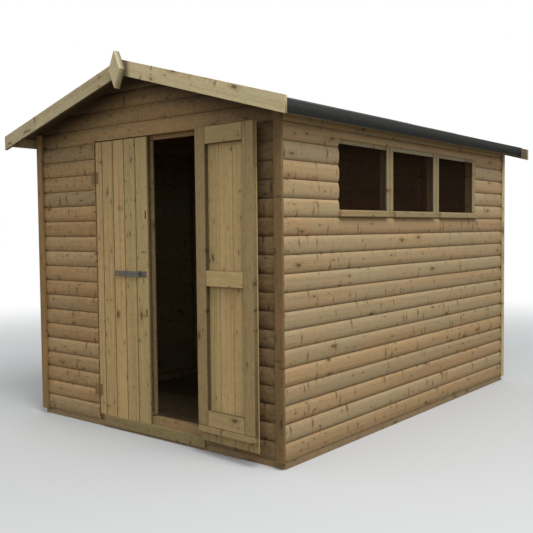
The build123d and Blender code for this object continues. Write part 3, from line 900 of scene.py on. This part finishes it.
class SHED_OT_walls(bpy.types.Operator):
    """Boards all four walls with barrel-faced boards"""

    bl_idname = "shed.walls"
    bl_label = "Wall boards"

    def execute(self, context):
        sizes = context.scene.shed_timber
        planes = roof_planes()
        sill = RIGHT_WALL[1].z
        over = OVER_WINDOWS
        walls = {
            "front": ([
                (FRONT_LEFT[0].x, FRONT_LEFT[1].x, WALL_BASE, DOOR_HEAD),
                (FRONT_RIGHT[0].x, FRONT_RIGHT[1].x, WALL_BASE, DOOR_HEAD),
                (FRONT_GABLE[0].x, FRONT_GABLE[1].x, DOOR_HEAD, PEAK),
            ], HALF_LENGTH, planes, ("front_wall_left", "front_wall_right", "front_gable")),
            "back": ([
                (BACK_WALL[0].x, BACK_WALL[1].x, WALL_BASE, BACK_WALL[1].z),
            ], HALF_LENGTH, planes, ("back_wall",)),
            "left": ([
                (-HALF_LENGTH, HALF_LENGTH, WALL_BASE, WALL_TOP),
            ], HALF_WIDTH, (), ("left_wall",)),
            "right": ([
                (-HALF_LENGTH, HALF_LENGTH, WALL_BASE, sill),
                (-HALF_LENGTH, over[0].y, sill, WALL_TOP),
                (over[1].y, HALF_LENGTH, sill, WALL_TOP),
                (over[0].y, over[1].y, over[0].z, WALL_TOP),
            ], HALF_WIDTH, (), (
                "right_wall_below_windows", "right_wall_beside_windows", "right_wall_over_windows",
            )),
        }
        for side, (regions, face, slopes, nodes) in walls.items():
            boards = tagged()
            clad(boards, sizes, side, regions, face, slopes)
            material = "front_loglap" if side == "front" else "loglap"
            piece(f"{side}_wall_boards", boards, material, "shed", nodes, 24)
            nails = bmesh.new()
            nail(nails, sizes, side, regions, face, slopes)
            piece(f"{side}_wall_nails", nails, "nail", "shed")
        return {"FINISHED"}


class SHED_OT_frame(bpy.types.Operator):
    """Dresses the floor bearers, studs, rails and roof timbers, and boards the floor"""

    bl_idname = "shed.frame"
    bl_label = "Floor and framing"

    def execute(self, context):
        timbers = {
            "floor_bearer_timbers": (("floor_bearers", "floor_end_bearers"), None),
            "wall_stud_timbers": (("front_studs", "back_studs", "side_studs"), UPWARDS),
            "wall_rail_timbers": (("gable_rails", "side_rails", "door_stop"), None),
            "roof_timbers": (("gable_rafters", "ridge_beam_and_purlins"), None),
        }
        for name, (nodes, along) in timbers.items():
            dress(name, nodes, "framing", along)
        low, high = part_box("floor_deck")
        deck = tagged()
        count = round((high.y - low.y) / context.scene.shed_roof.board)
        cover = (high.y - low.y) / count
        for index in range(count):
            start = low.y + index * cover
            board = cuboid((low.x, start, low.z), (high.x, start + cover, high.z))
            soften(board, context.scene.shed_timber.arris)
            # The lift of -1.0 darkens the deck: painted shade inside the shed.
            grained(board, SIDEWAYS, (0, 1, 0), f"deck {index}", -1.0)
            gather(deck, board)
        piece("floor_boards", deck, "framing", "shed", ("floor_deck",))
        return {"FINISHED"}


class SHED_OT_trim(bpy.types.Operator):
    """Dresses the corner strips, barge boards, finial, fascias and door sill"""

    bl_idname = "shed.trim"
    bl_label = "Trim"

    def execute(self, context):
        # The lifts lighten all but the front-right strip, which keeps the darker brown as painted
        # shade beside the open leaf.
        dress(
            "gable_corner_boards", ["gable_corner_strips"], "corner", UPWARDS,
            lifts=(0.75, 0.3, 0.0, 0.3),
        )
        dress("side_corner_boards", ["side_corner_strips"], "trim", UPWARDS)
        self.barge_boards()
        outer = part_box("eaves_fascias")[1].x - 0.003
        ends = [(Vector((sign * outer, 0, 0)), Vector((sign, 0, 0))) for sign in (1.0, -1.0)]
        # The lifts of -0.6 darken the fascias: painted shade under the felt's turned-down edge.
        dress("fascia_boards", ["eaves_fascias"], "trim", slopes=ends, lifts=(-0.6, -0.6))
        dress("door_sill_boards", ["door_sill"], "sill")
        return {"FINISHED"}

    def barge_boards(self):
        """The boards along both gables' edges, and the finial where the front ones meet."""
        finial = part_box("front_finial")
        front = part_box("front_barge_boards")
        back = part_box("back_barge_boards")

        # Painted shadow beside the finial, and painted shade on the front barge boards' underside.
        def front_hidden(place):
            depth = front[1].z - ROOF_FALL * abs(place.x) - place.z
            underneath = place.y > front[0].y + 0.001 and depth > 0.05
            return abs(place.x) < finial[1].x + 0.011 or underneath

        marks = [sign * (finial[1].x + reach) for sign in (-1.0, 1.0) for reach in (0.010, 0.045)]
        dress(
            "front_barge_timbers", ["front_barge_boards"], "trim",
            seams=[((mark, 0, 0), SIDEWAYS) for mark in marks], hidden=front_hidden,
            lifts=(-0.30, 0.30),
        )
        peak = Vector((0, 0, back[1].z - 0.006))
        slopes = [(peak, Vector((sign * ROOF_FALL, 0, 1)).normalized()) for sign in (1.0, -1.0)]
        # Painted shade on the back barge boards' face towards the wall, fading across their edges.
        dress(
            "back_barge_timbers", ["back_barge_boards"], "trim", slopes=slopes,
            hidden=lambda place: place.y < back[0].y + 0.001,
        )
        # Painted shade on the finial, dark at its back and fading over its sides to its front face.
        dress(
            "finial_diamond", ["front_finial"], "trim", UPWARDS,
            hidden=lambda place: place.y > finial[0].y + 0.010,
        )


class SHED_OT_windows(bpy.types.Operator):
    """Dresses the window posts, beads and sills, and glazes the panes"""

    bl_idname = "shed.windows"
    bl_label = "Windows"

    def execute(self, context):
        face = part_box("window_mullions")[1].x
        # Painted shade on the mullions' sides, in the window's reveal.
        dress(
            "window_mullion_boards", ["window_mullions"], "window_trim", UPWARDS,
            hidden=lambda place: place.x < face - 0.001,
        )
        # The lifts of -1.0 darken the head beads: painted shade where they sit back under the
        # boards above.
        dress(
            "window_bead_strips", ["window_head_beads"], "trim",
            lifts=(-1.0, -1.0, -1.0),
        )
        dress("window_sill_boards", ["window_sills"], "window_trim")
        paint("window_glass", "glass")
        return {"FINISHED"}


def strips_of(node, cover, arris, label):
    """A slope of the roof cut into boards, which stop short of the felt's bend."""
    low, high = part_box(node)
    count = max(round((high.y - low.y) / cover), 1)
    step = (high.y - low.y) / count
    outer = max(abs(low.x), abs(high.x)) - 0.003
    back = Vector((0, 1, 0))
    target = tagged()
    whole = solids(node)[0]
    for number in range(count):
        board = whole.copy()
        start = low.y + number * step
        if number > 0:
            cut(board, back * start, -back)
        if number < count - 1:
            cut(board, back * (start + step), back)
        for sign in (-1.0, 1.0):
            reach = Vector((sign * outer, 0, 0))
            cut(board, reach, (sign, 0, 0))
            rise = Vector((-sign * 0.003, 0, roof_height(reach.x) + 0.012))
            cut(board, reach + rise, (sign, 0, 1))
        soften(board, arris)
        # Painted shade on the boards over the front overhang.
        shade(board, VERGE_UNDERSIDE, lambda place: place.y < -HALF_LENGTH + 0.08)
        grained(board, direction(board), back, f"{label} {number}")
        gather(target, board)
    whole.free()
    return target


def eaves(sizes):
    """Where the felt turns down: the slope's length, the bend's, the pitch, the bend's middle."""
    pitch = math.atan(ROOF_FALL)
    outer = FELT[1].x - 0.0004
    slope = (outer - sizes.bend * math.tan((math.pi / 2 - pitch) / 2)) / math.cos(pitch)
    middle_x = slope * math.cos(pitch) - sizes.bend * math.sin(pitch)
    middle_z = FELT[1].z - slope * math.sin(pitch) - sizes.bend * math.cos(pitch)
    return slope, sizes.bend * (math.pi / 2 - pitch), pitch, middle_x, middle_z


def flat_felt():
    """A fine grid, one unit each way, that is bent into a sheet of felt."""
    bm = bmesh.new()
    bmesh.ops.create_grid(bm, x_segments=28, y_segments=84, size=0.5)
    return bm


def thickened(bm, thickness):
    """Gives a bent sheet its thickness on the underside."""
    bmesh.ops.recalc_face_normals(bm, faces=bm.faces)
    if sum(f.normal.z for f in bm.faces) < 0:
        bmesh.ops.reverse_faces(bm, faces=bm.faces)
    bmesh.ops.solidify(bm, geom=bm.faces[:], thickness=thickness)
    return bm


def wave(x, y, z):
    """Smooth noise between 0 and 1."""
    return noise.noise((x, y, z)) * 0.5 + 0.5


def sheet(sizes, side, start, end, lift, seed):
    """One sheet of felt, from a distance down the slope to another, bent down past the eaves."""
    slope, arc, pitch, middle_x, middle_z = eaves(sizes)
    sign = -1.0 if side == "left" else 1.0
    bm = flat_felt()
    levels = sorted({round(v.co.x, 5) for v in bm.verts})
    tail = [slope + arc * step / 6 for step in range(7)] + [end] if end > slope else [end]
    plain = len(levels) - len(tail)
    runs = [start + (tail[0] - start) * step / plain for step in range(plain)] + tail
    along = dict(zip(levels, runs))
    for vert in bm.verts:
        run = along[round(vert.co.x, 5)]
        y = vert.co.y * (ROOF_BACK - FELT[0].y) + (ROOF_BACK + FELT[0].y) / 2
        swell = wave(run * 2.2 + seed, y * 1.7, seed)
        crease = wave(run * 9.0 + seed, y * 3.5, seed * 2.0)
        sag = lift + sizes.ripple * (0.6 * swell + 0.4 * crease)
        if run < slope:
            x = run * math.cos(pitch) - sag * math.sin(pitch)
            z = FELT[1].z - run * math.sin(pitch) - sag * math.cos(pitch)
        else:
            turn = min(pitch + (run - slope) / sizes.bend, math.pi / 2)
            x = middle_x + (sizes.bend - sag) * math.sin(turn)
            z = middle_z + (sizes.bend - sag) * math.cos(turn) - max(run - slope - arc, 0.0)
        vert.co = Vector((sign * max(x, 0.0005), y, max(z, FELT[0].z)))
    return thickened(bm, sizes.sheet)


def clouts(sizes, side):
    """Clout nails along the lap and along the felt's turned-down edge."""
    _, _, pitch, middle_x, _ = eaves(sizes)
    sign = -1.0 if side == "left" else 1.0
    run = sizes.lap_line - 0.02
    bm = bmesh.new()
    dice = random.Random(f"clouts {side}")
    y = FELT[0].y + 0.03
    while y < FELT[1].y - 0.02:
        place = Vector((sign * run * math.cos(pitch), y + dice.uniform(-0.01, 0.01),
                        FELT[1].z - run * math.sin(pitch) - 0.0014))
        head(bm, place, (sign * math.sin(pitch), 0, math.cos(pitch)), sizes.clout, 0.0012)
        low = Vector((sign * (middle_x + sizes.bend - 0.0018), y + dice.uniform(-0.01, 0.01),
                      FELT[0].z + 0.022 + dice.uniform(-0.004, 0.004)))
        head(bm, low, (sign, 0, 0), sizes.clout, 0.0014)
        y += sizes.clout_step
    return bm


def ridge_strip(sizes):
    """The strip of felt over the ridge, bent to both slopes."""
    low, high = RIDGE_CAP
    bm = flat_felt()
    for vert in bm.verts:
        x = vert.co.x * (high.x - low.x)
        y = (vert.co.y + 0.5) * (ROOF_BACK - low.y) + low.y
        edge = max(abs(x) / high.x - 0.8, 0.0) * 5.0
        z = high.z - ROOF_FALL * math.sqrt(x * x + 0.006 ** 2)
        vert.co = Vector((x, y, z - 0.0010 * wave(x * 6.0, y * 2.5, 4.0) * edge))
    return thickened(bm, sizes.sheet)


class SHED_OT_roof(bpy.types.Operator):
    """Boards both slopes, lays two sheets of felt on each and nails them"""

    bl_idname = "shed.roof"
    bl_label = "Roof"

    def execute(self, context):
        sizes = context.scene.shed_roof
        arris = context.scene.shed_timber.arris
        for side in ("left", "right"):
            node = f"roof_{side}"
            boards = strips_of(node, sizes.board, arris, f"roof {side}")
            piece(f"roof_boards_{side}", boards, "roof_board", "shed", (node,))
        slope, arc, _, _, middle_z = eaves(sizes)
        end = slope + arc + middle_z - FELT[0].z
        for side, seed in (("left", 3.0), ("right", 11.0)):
            felt = sheet(sizes, side, 0.0, sizes.lap_line, 0.0, seed)
            first = sizes.lap_line - sizes.lap
            gather(felt, sheet(sizes, side, first, end, sizes.sheet * 0.9, seed + 5.0))
            node = f"felt_{side}"
            piece(f"roof_felt_{side}", felt, "felt", "shed", (node,), 40)
            nails = clouts(sizes, side)
            piece(f"felt_nails_{side}", nails, "clout", "shed")
        cap = ridge_strip(sizes)
        piece("ridge_felt", cap, "felt", "shed", ("felt_ridge_cap",), 40)
        return {"FINISHED"}


def joint_of(side):
    """The hinge joint that a leaf turns on."""
    return next(j for j in frame["joints"] if j["child"] == f"{side}_door")


def shut(side):
    """Turns a piece made with its leaf shut to where that leaf rests."""
    if side == "left":
        return Matrix.Identity(4)
    joint = joint_of(side)
    pin = Vector(joint["pos_m"])
    angle = math.radians(-joint["range_deg"][1]) * joint["axis"][2]
    return Matrix.Translation(pin) @ Matrix.Rotation(angle, 4, "Z") @ Matrix.Translation(-pin)


def leaf_box(node, side):
    """The corners of a leaf's node while the leaf is shut."""
    turn = shut(side).inverted()
    points = [turn @ v.co for v in frame["nodes"][node].data.vertices]
    low = Vector([min(p[i] for p in points) for i in range(3)])
    high = Vector([max(p[i] for p in points) for i in range(3)])
    return low, high


def mortise(bm, low, high):
    """Cuts a slot through a board's thickness, which runs along Y."""
    for normal in (SIDEWAYS, UPWARDS):
        for corner in (low, high):
            score(bm, corner, normal)
    lost = []
    for face in bm.faces:
        middle = face.calc_center_median()
        within = low.x < middle.x < high.x and low.z < middle.z < high.z
        if within and abs(face.normal.y) > 0.9:
            lost.append(face)
    bmesh.ops.delete(bm, geom=lost, context="FACES_ONLY")
    bmesh.ops.bridge_loops(bm, edges=[e for e in bm.edges if e.is_boundary])


def slots_in(sizes, board, foot, edge):
    """Both slots of the left leaf, through one of its boards or timbers."""
    bmesh.ops.recalc_face_normals(board, faces=board.faces)
    near, far = min(v.co.y for v in board.verts), max(v.co.y for v in board.verts)
    left = edge - sizes.slot_inset - sizes.slot_width / 2
    right = edge - sizes.slot_inset + sizes.slot_width / 2
    for rise in (sizes.lower_slot, sizes.upper_slot):
        low = Vector((left, near, foot + rise))
        mortise(board, low, Vector((right, far, foot + rise + sizes.slot_height)))


def leaf_boards(sizes, side):
    """A leaf's upright boards, from the hinges to the meeting edge, with V joints."""
    low, high = leaf_box(f"{side}_door_boards", side)
    near, far = (low.x, high.x) if side == "left" else (high.x, low.x)
    step = 1.0 if far > near else -1.0
    edges = [near, near + step * sizes.first_board]
    while abs(far - edges[-1]) > 1.5 * sizes.board:
        edges.append(edges[-1] + step * sizes.board)
    edges.append(far)
    target = tagged()
    foot = leaf_box(f"{side}_door_frame", side)[0].z
    half = sizes.gap / 2
    for index, (a, b) in enumerate(zip(edges, edges[1:])):
        board = cuboid((min(a, b) + half, low.y, low.z), (max(a, b) - half, high.y, high.z))
        for face, width in ((low.y, sizes.groove), (high.y, sizes.groove * 0.3)):
            upright = [
                e for e in board.edges
                if abs(e.verts[0].co.z - e.verts[1].co.z) > 0.5
                and abs(e.verts[0].co.y - face) < 1e-5
            ]
            bevelled(board, upright, width)
        last = index == len(edges) - 2
        if side == "left" and last:
            slots_in(sizes, board, low.z, high.x)
        pale = side == "right" and last
        shade(board, LEAF_JOINT, lambda place: low.y + 1e-4 < place.y < low.y + 0.008
              and not (pale and abs(place.x - far) < 0.002))
        for reach in (0.0, 0.006):
            score(board, (0, 0, foot - reach), UPWARDS)
        # Painted shade on the boards' back below the frame's foot.
        shade(board, UNDER_FRAME, lambda place: place.y > low.y + 0.008 and place.z < foot - 0.005)
        grained(board, UPWARDS, SIDEWAYS, f"{side} leaf board {index}")
        gather(target, board)
        if index:
            tongue = cuboid(
                (a - half, low.y + 0.006, low.z + 0.001),
                (a + half, high.y - 0.003, high.z - 0.001),
            )
            shade(tongue, HIDDEN, lambda place: place.y < high.y - 0.004)
            grained(tongue, UPWARDS, SIDEWAYS, f"{side} leaf tongue {index}")
            gather(target, tongue)
    bmesh.ops.transform(target, matrix=shut(side), verts=target.verts)
    return target


def leaf_timbers(sizes, side):
    """A leaf's timbers, each with its corners, its grain and how much lighter it is."""
    low, high = leaf_box(f"{side}_door_frame", side)
    x0, x1, y0, y1 = low.x, high.x, low.y, high.y
    foot, middle, top = low.z + sizes.foot, low.z + sizes.middle, high.z
    parts = []
    if side == "left":
        x1 = leaf_box("left_door_boards", side)[1].x - sizes.stile_inset
        y1 = high.y - sizes.astragal_thickness
        inner = (high.x - sizes.astragal, y1, low.z)
        outer = (high.x, high.y, high.z - sizes.astragal_drop)
        parts.append(("strip", inner, outer, UPWARDS, -0.80))
    left, right = x0 + sizes.stile, x1 - sizes.stile
    return parts + [
        ("foot", (x0, y0, low.z), (x1, y1, foot), SIDEWAYS, -0.10),
        ("stile a", (x0, y0, foot), (left, y1, top), UPWARDS, -0.38),
        ("stile b", (right, y0, foot), (x1, y1, top), UPWARDS, -0.35),
        ("low rail", (left, y0, foot), (right, y1, foot + sizes.rail), SIDEWAYS, 0.20),
        ("mid rail", (left, y0, middle), (right, y1, middle + sizes.rail), SIDEWAYS, 0.50),
        ("top rail", (left, y0, top - sizes.top_rail), (right, y1, top), SIDEWAYS, 0.45),
    ]


def in_frame_shade(name, low, high, place, reach):
    """Whether a point of a leaf's timber gets painted shade: where it meets the next timber, along
    a stile's inner side and under a rail.
    """
    left, right = place.x < low[0] + reach, place.x > high[0] - reach
    foot, top = place.z < low[2] + reach, place.z > high[2] - reach
    if name.startswith("stile"):
        return foot or (right if name == "stile a" else left)
    if name.endswith("rail"):
        return left or right or foot
    return name == "foot" and top


def leaf_frame(sizes, side, arris):
    """A leaf's frame of separate timbers."""
    boards = leaf_box(f"{side}_door_boards", side)
    reach = arris * 2 + 5e-4
    target = tagged()
    for name, low, high, along, lift in leaf_timbers(sizes, side):
        timber = cuboid(low, high)
        if name == "strip":
            edge = boards[1].x - sizes.stile_inset
            for shift in (0.0, 0.0004):
                score(timber, (edge + shift, 0, 0), SIDEWAYS)
            for vert in timber.verts:
                if vert.co.x > edge + 0.0002 and vert.co.y < low[1] + 1e-5:
                    vert.co.y += sizes.astragal_relief
        soften(timber, arris * 2, 2)
        # Painted shade where the timbers meet, along the stiles' inner sides and under the rails.
        shade(timber, FRAME_SHADE, lambda place: low[1] + 5e-4 < place.y < high[1] - 5e-4
              and in_frame_shade(name, low, high, place, reach))
        if side == "left" and name == "stile b":
            # The left stile's face at the meeting edge is made dark all over.
            shade(timber, LEAF_JOINT, lambda place: place.x > high[0] - 1e-4)
            slots_in(sizes, timber, boards[0].z, boards[1].x)
        grained(timber, along, across_of(Vector(along)), f"{side} leaf {name}", lift)
        gather(target, timber)
    bmesh.ops.transform(target, matrix=shut(side), verts=target.verts)
    return target


class SHED_OT_doors(bpy.types.Operator):
    """Boards and frames both doors"""

    bl_idname = "shed.doors"
    bl_label = "Doors"

    def execute(self, context):
        sizes = context.scene.shed_doors
        arris = context.scene.shed_timber.arris
        for side in ("left", "right"):
            body = f"{side}_door"
            boards = leaf_boards(sizes, side)
            node = f"{side}_door_boards"
            piece(f"{side}_leaf_boards", boards, "door_board", body, (node,))
            timbers = leaf_frame(sizes, side, arris)
            node = f"{side}_door_frame"
            piece(f"{side}_leaf_frame", timbers, "door_frame", body, (node,))
        low, high = leaf_box("left_door_boards", "left")
        back = leaf_box("left_door_frame", "left")[1].y - sizes.astragal_thickness
        middle = high.x - sizes.slot_inset
        half = sizes.slot_width / 2
        # Dark boxes in the left leaf's slots: painted shade for the slots' dark depth.
        slot_shadows = tagged()
        for rise in (sizes.lower_slot, sizes.upper_slot):
            foot = low.z + rise
            top = foot + sizes.slot_height
            lining = cuboid((middle - half, low.y + 0.004, foot), (middle + half, back, top))
            shade(lining, SLOT_SHADOW, lambda place: True)
            grained(lining, UPWARDS, SIDEWAYS, f"lining {rise:.3f}")
            gather(slot_shadows, lining)
        piece("left_leaf_slot_shadows", slot_shadows, "door_board", "left_door")
        return {"FINISHED"}


def screw(target, sizes, x, face, z):
    """One screw head on a plate that faces the front."""
    head(target, (x, face, z), (0, -1, 0), sizes.screw, 0.0009, 12)


def hinge_screws(sizes, side, fixed):
    """Three screws in each flap of a leaf's hinges, on the wall when they are fixed."""
    node = "hinge_wall_flaps" if fixed else f"{side}_door_hinge_flaps"
    low, high = leaf_box(node, "left" if fixed else side)
    pin = joint_of(side)["pos_m"][0]
    outward = -1.0 if side == "left" else 1.0
    reach = 0.0205 if fixed else -0.0195
    wood = -HALF_LENGTH if fixed else leaf_box(f"{side}_door_boards", side)[0].y
    bm = bmesh.new()
    for base in (low.z, high.z - sizes.hinge):
        for share, shift in ((0.14, 0.003), (0.5, -0.004), (0.86, 0.003)):
            x = pin + outward * (reach + math.copysign(shift, reach))
            screw(bm, sizes, x, wood - 0.0025, base + sizes.hinge * share)
    if not fixed:
        bmesh.ops.transform(bm, matrix=shut(side), verts=bm.verts)
    return bm


class SHED_OT_ironmongery(bpy.types.Operator):
    """Finishes the hinges, hasp and staple, and adds their screws"""

    bl_idname = "shed.ironmongery"
    bl_label = "Ironmongery"

    def execute(self, context):
        sizes = context.scene.shed_doors
        for node in ("hinge_wall_flaps", "left_door_hinge_flaps", "right_door_hinge_flaps"):
            paint(node, "dull_steel")
        for node in ("hasp_plate", "hasp_strap", "hasp_staple"):
            paint(node, "steel")
        fixed = hinge_screws(sizes, "left", True)
        gather(fixed, hinge_screws(sizes, "right", True))
        piece("hinge_wall_screws", fixed, "nail", "shed")
        for side in ("left", "right"):
            screws = hinge_screws(sizes, side, False)
            if side == "left":
                low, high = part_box("hasp_plate")
                face = leaf_box("left_door_boards", "left")[0].y - 0.003
                for x in (low.x + 0.024, high.x - 0.010):
                    for z in (low.z + 0.008, high.z - 0.008):
                        screw(screws, sizes, x, face, z)
            piece(f"{side}_leaf_screws", screws, "nail", f"{side}_door")
        return {"FINISHED"}


# Stage

CAMERA_PLACE = (3.5326, -4.6783, 1.3029)
CAMERA_HEADING = 38.966
CAMERA_PITCH = -2.852
CAMERA_ROLL = -0.574
LAMP_PLACE = (4.6, -2.8, 8.6)
LAMP_AIM = (0, 0, 1.0)
WHITE = (1.0, 1.0, 1.0, 1.0)


class SHED_OT_stage(bpy.types.Operator):
    """Makes the floor, the light and the camera"""

    bl_idname = "shed.stage"
    bl_label = "Stage"

    def execute(self, context):
        sizes = context.scene.shed_stage
        self.ground(sizes)
        self.sky(context, sizes)
        self.lamp(context, sizes)
        self.camera(context, sizes)
        context.scene.view_settings.view_transform = "Standard"
        return {"FINISHED"}

    def ground(self, sizes):
        bm = bmesh.new()
        bmesh.ops.create_circle(bm, cap_ends=True, segments=96, radius=60.0)
        mesh = bpy.data.meshes.new("studio_floor")
        bm.to_mesh(mesh)
        bm.free()
        made = bpy.data.objects.new("studio_floor", mesh)
        bpy.context.scene.collection.objects.link(made)
        shader = new_material("studio_floor")
        distance = shader.node(
            "ShaderNodeVectorMath", {"operation": "LENGTH"}, {0: shader.place()}, "Value",
        )
        seen = shader.node("ShaderNodeLightPath", output="Is Camera Ray")
        lit = shader.surface({
            "Base Color": shader.mix(seen, sizes.bounce, sizes.floor),
            "Roughness": 0.9,
            "Specular IOR Level": 0.0,
        })
        white = shader.node("ShaderNodeEmission", {}, {"Color": WHITE, "Strength": 1.0})
        far = shader.step(distance, 3.0, 9.0) * seen
        lightened = shader.node("ShaderNodeMixShader", {}, {0: far, 1: lit, 2: white})
        mesh.materials.append(shader.close(lightened))

    def sky(self, context, sizes):
        shader = Shader(bpy.data.worlds.new("studio_sky"))
        direct = shader.node("ShaderNodeLightPath", output="Is Camera Ray")
        through = shader.node("ShaderNodeLightPath", output="Is Transmission Ray")
        seen = direct.maths("MAXIMUM", direct, through)
        even = {"Color": (0.93, 0.97, 1.0, 1.0), "Strength": sizes.sky}
        light = shader.node("ShaderNodeBackground", {}, even)
        backdrop = shader.node("ShaderNodeBackground", {}, {"Color": WHITE, "Strength": 1.0})
        choice = shader.node("ShaderNodeMixShader", {}, {0: seen, 1: light, 2: backdrop})
        context.scene.world = shader.close(choice, "ShaderNodeOutputWorld")

    def lamp(self, context, sizes):
        light = bpy.data.lights.new("soft_lamp", "AREA")
        light.shape = "DISK"
        light.size = 5.0
        light.energy = sizes.lamp
        made = bpy.data.objects.new("soft_lamp", light)
        made.location = LAMP_PLACE
        aim = Vector(LAMP_AIM) - made.location
        made.rotation_euler = aim.to_track_quat("-Z", "Y").to_euler()
        context.scene.collection.objects.link(made)

    def camera(self, context, sizes):
        data = bpy.data.cameras.new("camera")
        data.lens = sizes.lens
        data.sensor_width = 36.0
        made = bpy.data.objects.new("camera", data)
        turn = Matrix.Rotation(math.radians(CAMERA_HEADING), 4, "Z")
        tilt = Matrix.Rotation(math.radians(90.0 + CAMERA_PITCH), 4, "X")
        roll = Matrix.Rotation(math.radians(CAMERA_ROLL), 4, "Z")
        made.matrix_world = Matrix.Translation(CAMERA_PLACE) @ turn @ tilt @ roll
        context.scene.collection.objects.link(made)
        context.scene.camera = made


OPERATORS = (
    SHED_OT_walls, SHED_OT_frame, SHED_OT_trim, SHED_OT_windows, SHED_OT_roof,
    SHED_OT_doors, SHED_OT_ironmongery, SHED_OT_stage,
)


class SHED_PT_panel(bpy.types.Panel):
    """Lists the shed's settings and the buttons that build its pieces"""

    bl_idname = "SHED_PT_panel"
    bl_label = "Garden Shed"
    bl_space_type = "VIEW_3D"
    bl_region_type = "UI"
    bl_category = "Garden Shed"

    def draw(self, context):
        for settings in ("shed_timber", "shed_roof", "shed_doors", "shed_stage"):
            group = getattr(context.scene, settings)
            box = self.layout.box()
            for key in group.bl_rna.properties.keys():
                if key not in ("rna_type", "name"):
                    box.prop(group, key)
        for operator in OPERATORS:
            self.layout.operator(operator.bl_idname)


GROUPS = {
    "shed_timber": ShedTimber,
    "shed_roof": ShedRoof,
    "shed_doors": ShedDoors,
    "shed_stage": ShedStage,
}


def register():
    for group in GROUPS.values():
        bpy.utils.register_class(group)
    for key, group in GROUPS.items():
        setattr(bpy.types.Scene, key, PointerProperty(type=group))
    for operator in OPERATORS:
        bpy.utils.register_class(operator)
    bpy.utils.register_class(SHED_PT_panel)


def unregister():
    bpy.utils.unregister_class(SHED_PT_panel)
    for operator in reversed(OPERATORS):
        bpy.utils.unregister_class(operator)
    for key in GROUPS:
        delattr(bpy.types.Scene, key)
    for group in reversed(list(GROUPS.values())):
        bpy.utils.unregister_class(group)


def main():
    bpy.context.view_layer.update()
    register()
    bpy.ops.shed.walls()
    bpy.ops.shed.frame()
    bpy.ops.shed.trim()
    bpy.ops.shed.windows()
    bpy.ops.shed.roof()
    bpy.ops.shed.doors()
    bpy.ops.shed.ironmongery()
    bpy.ops.shed.stage()


if __name__ == "__main__":
    main()
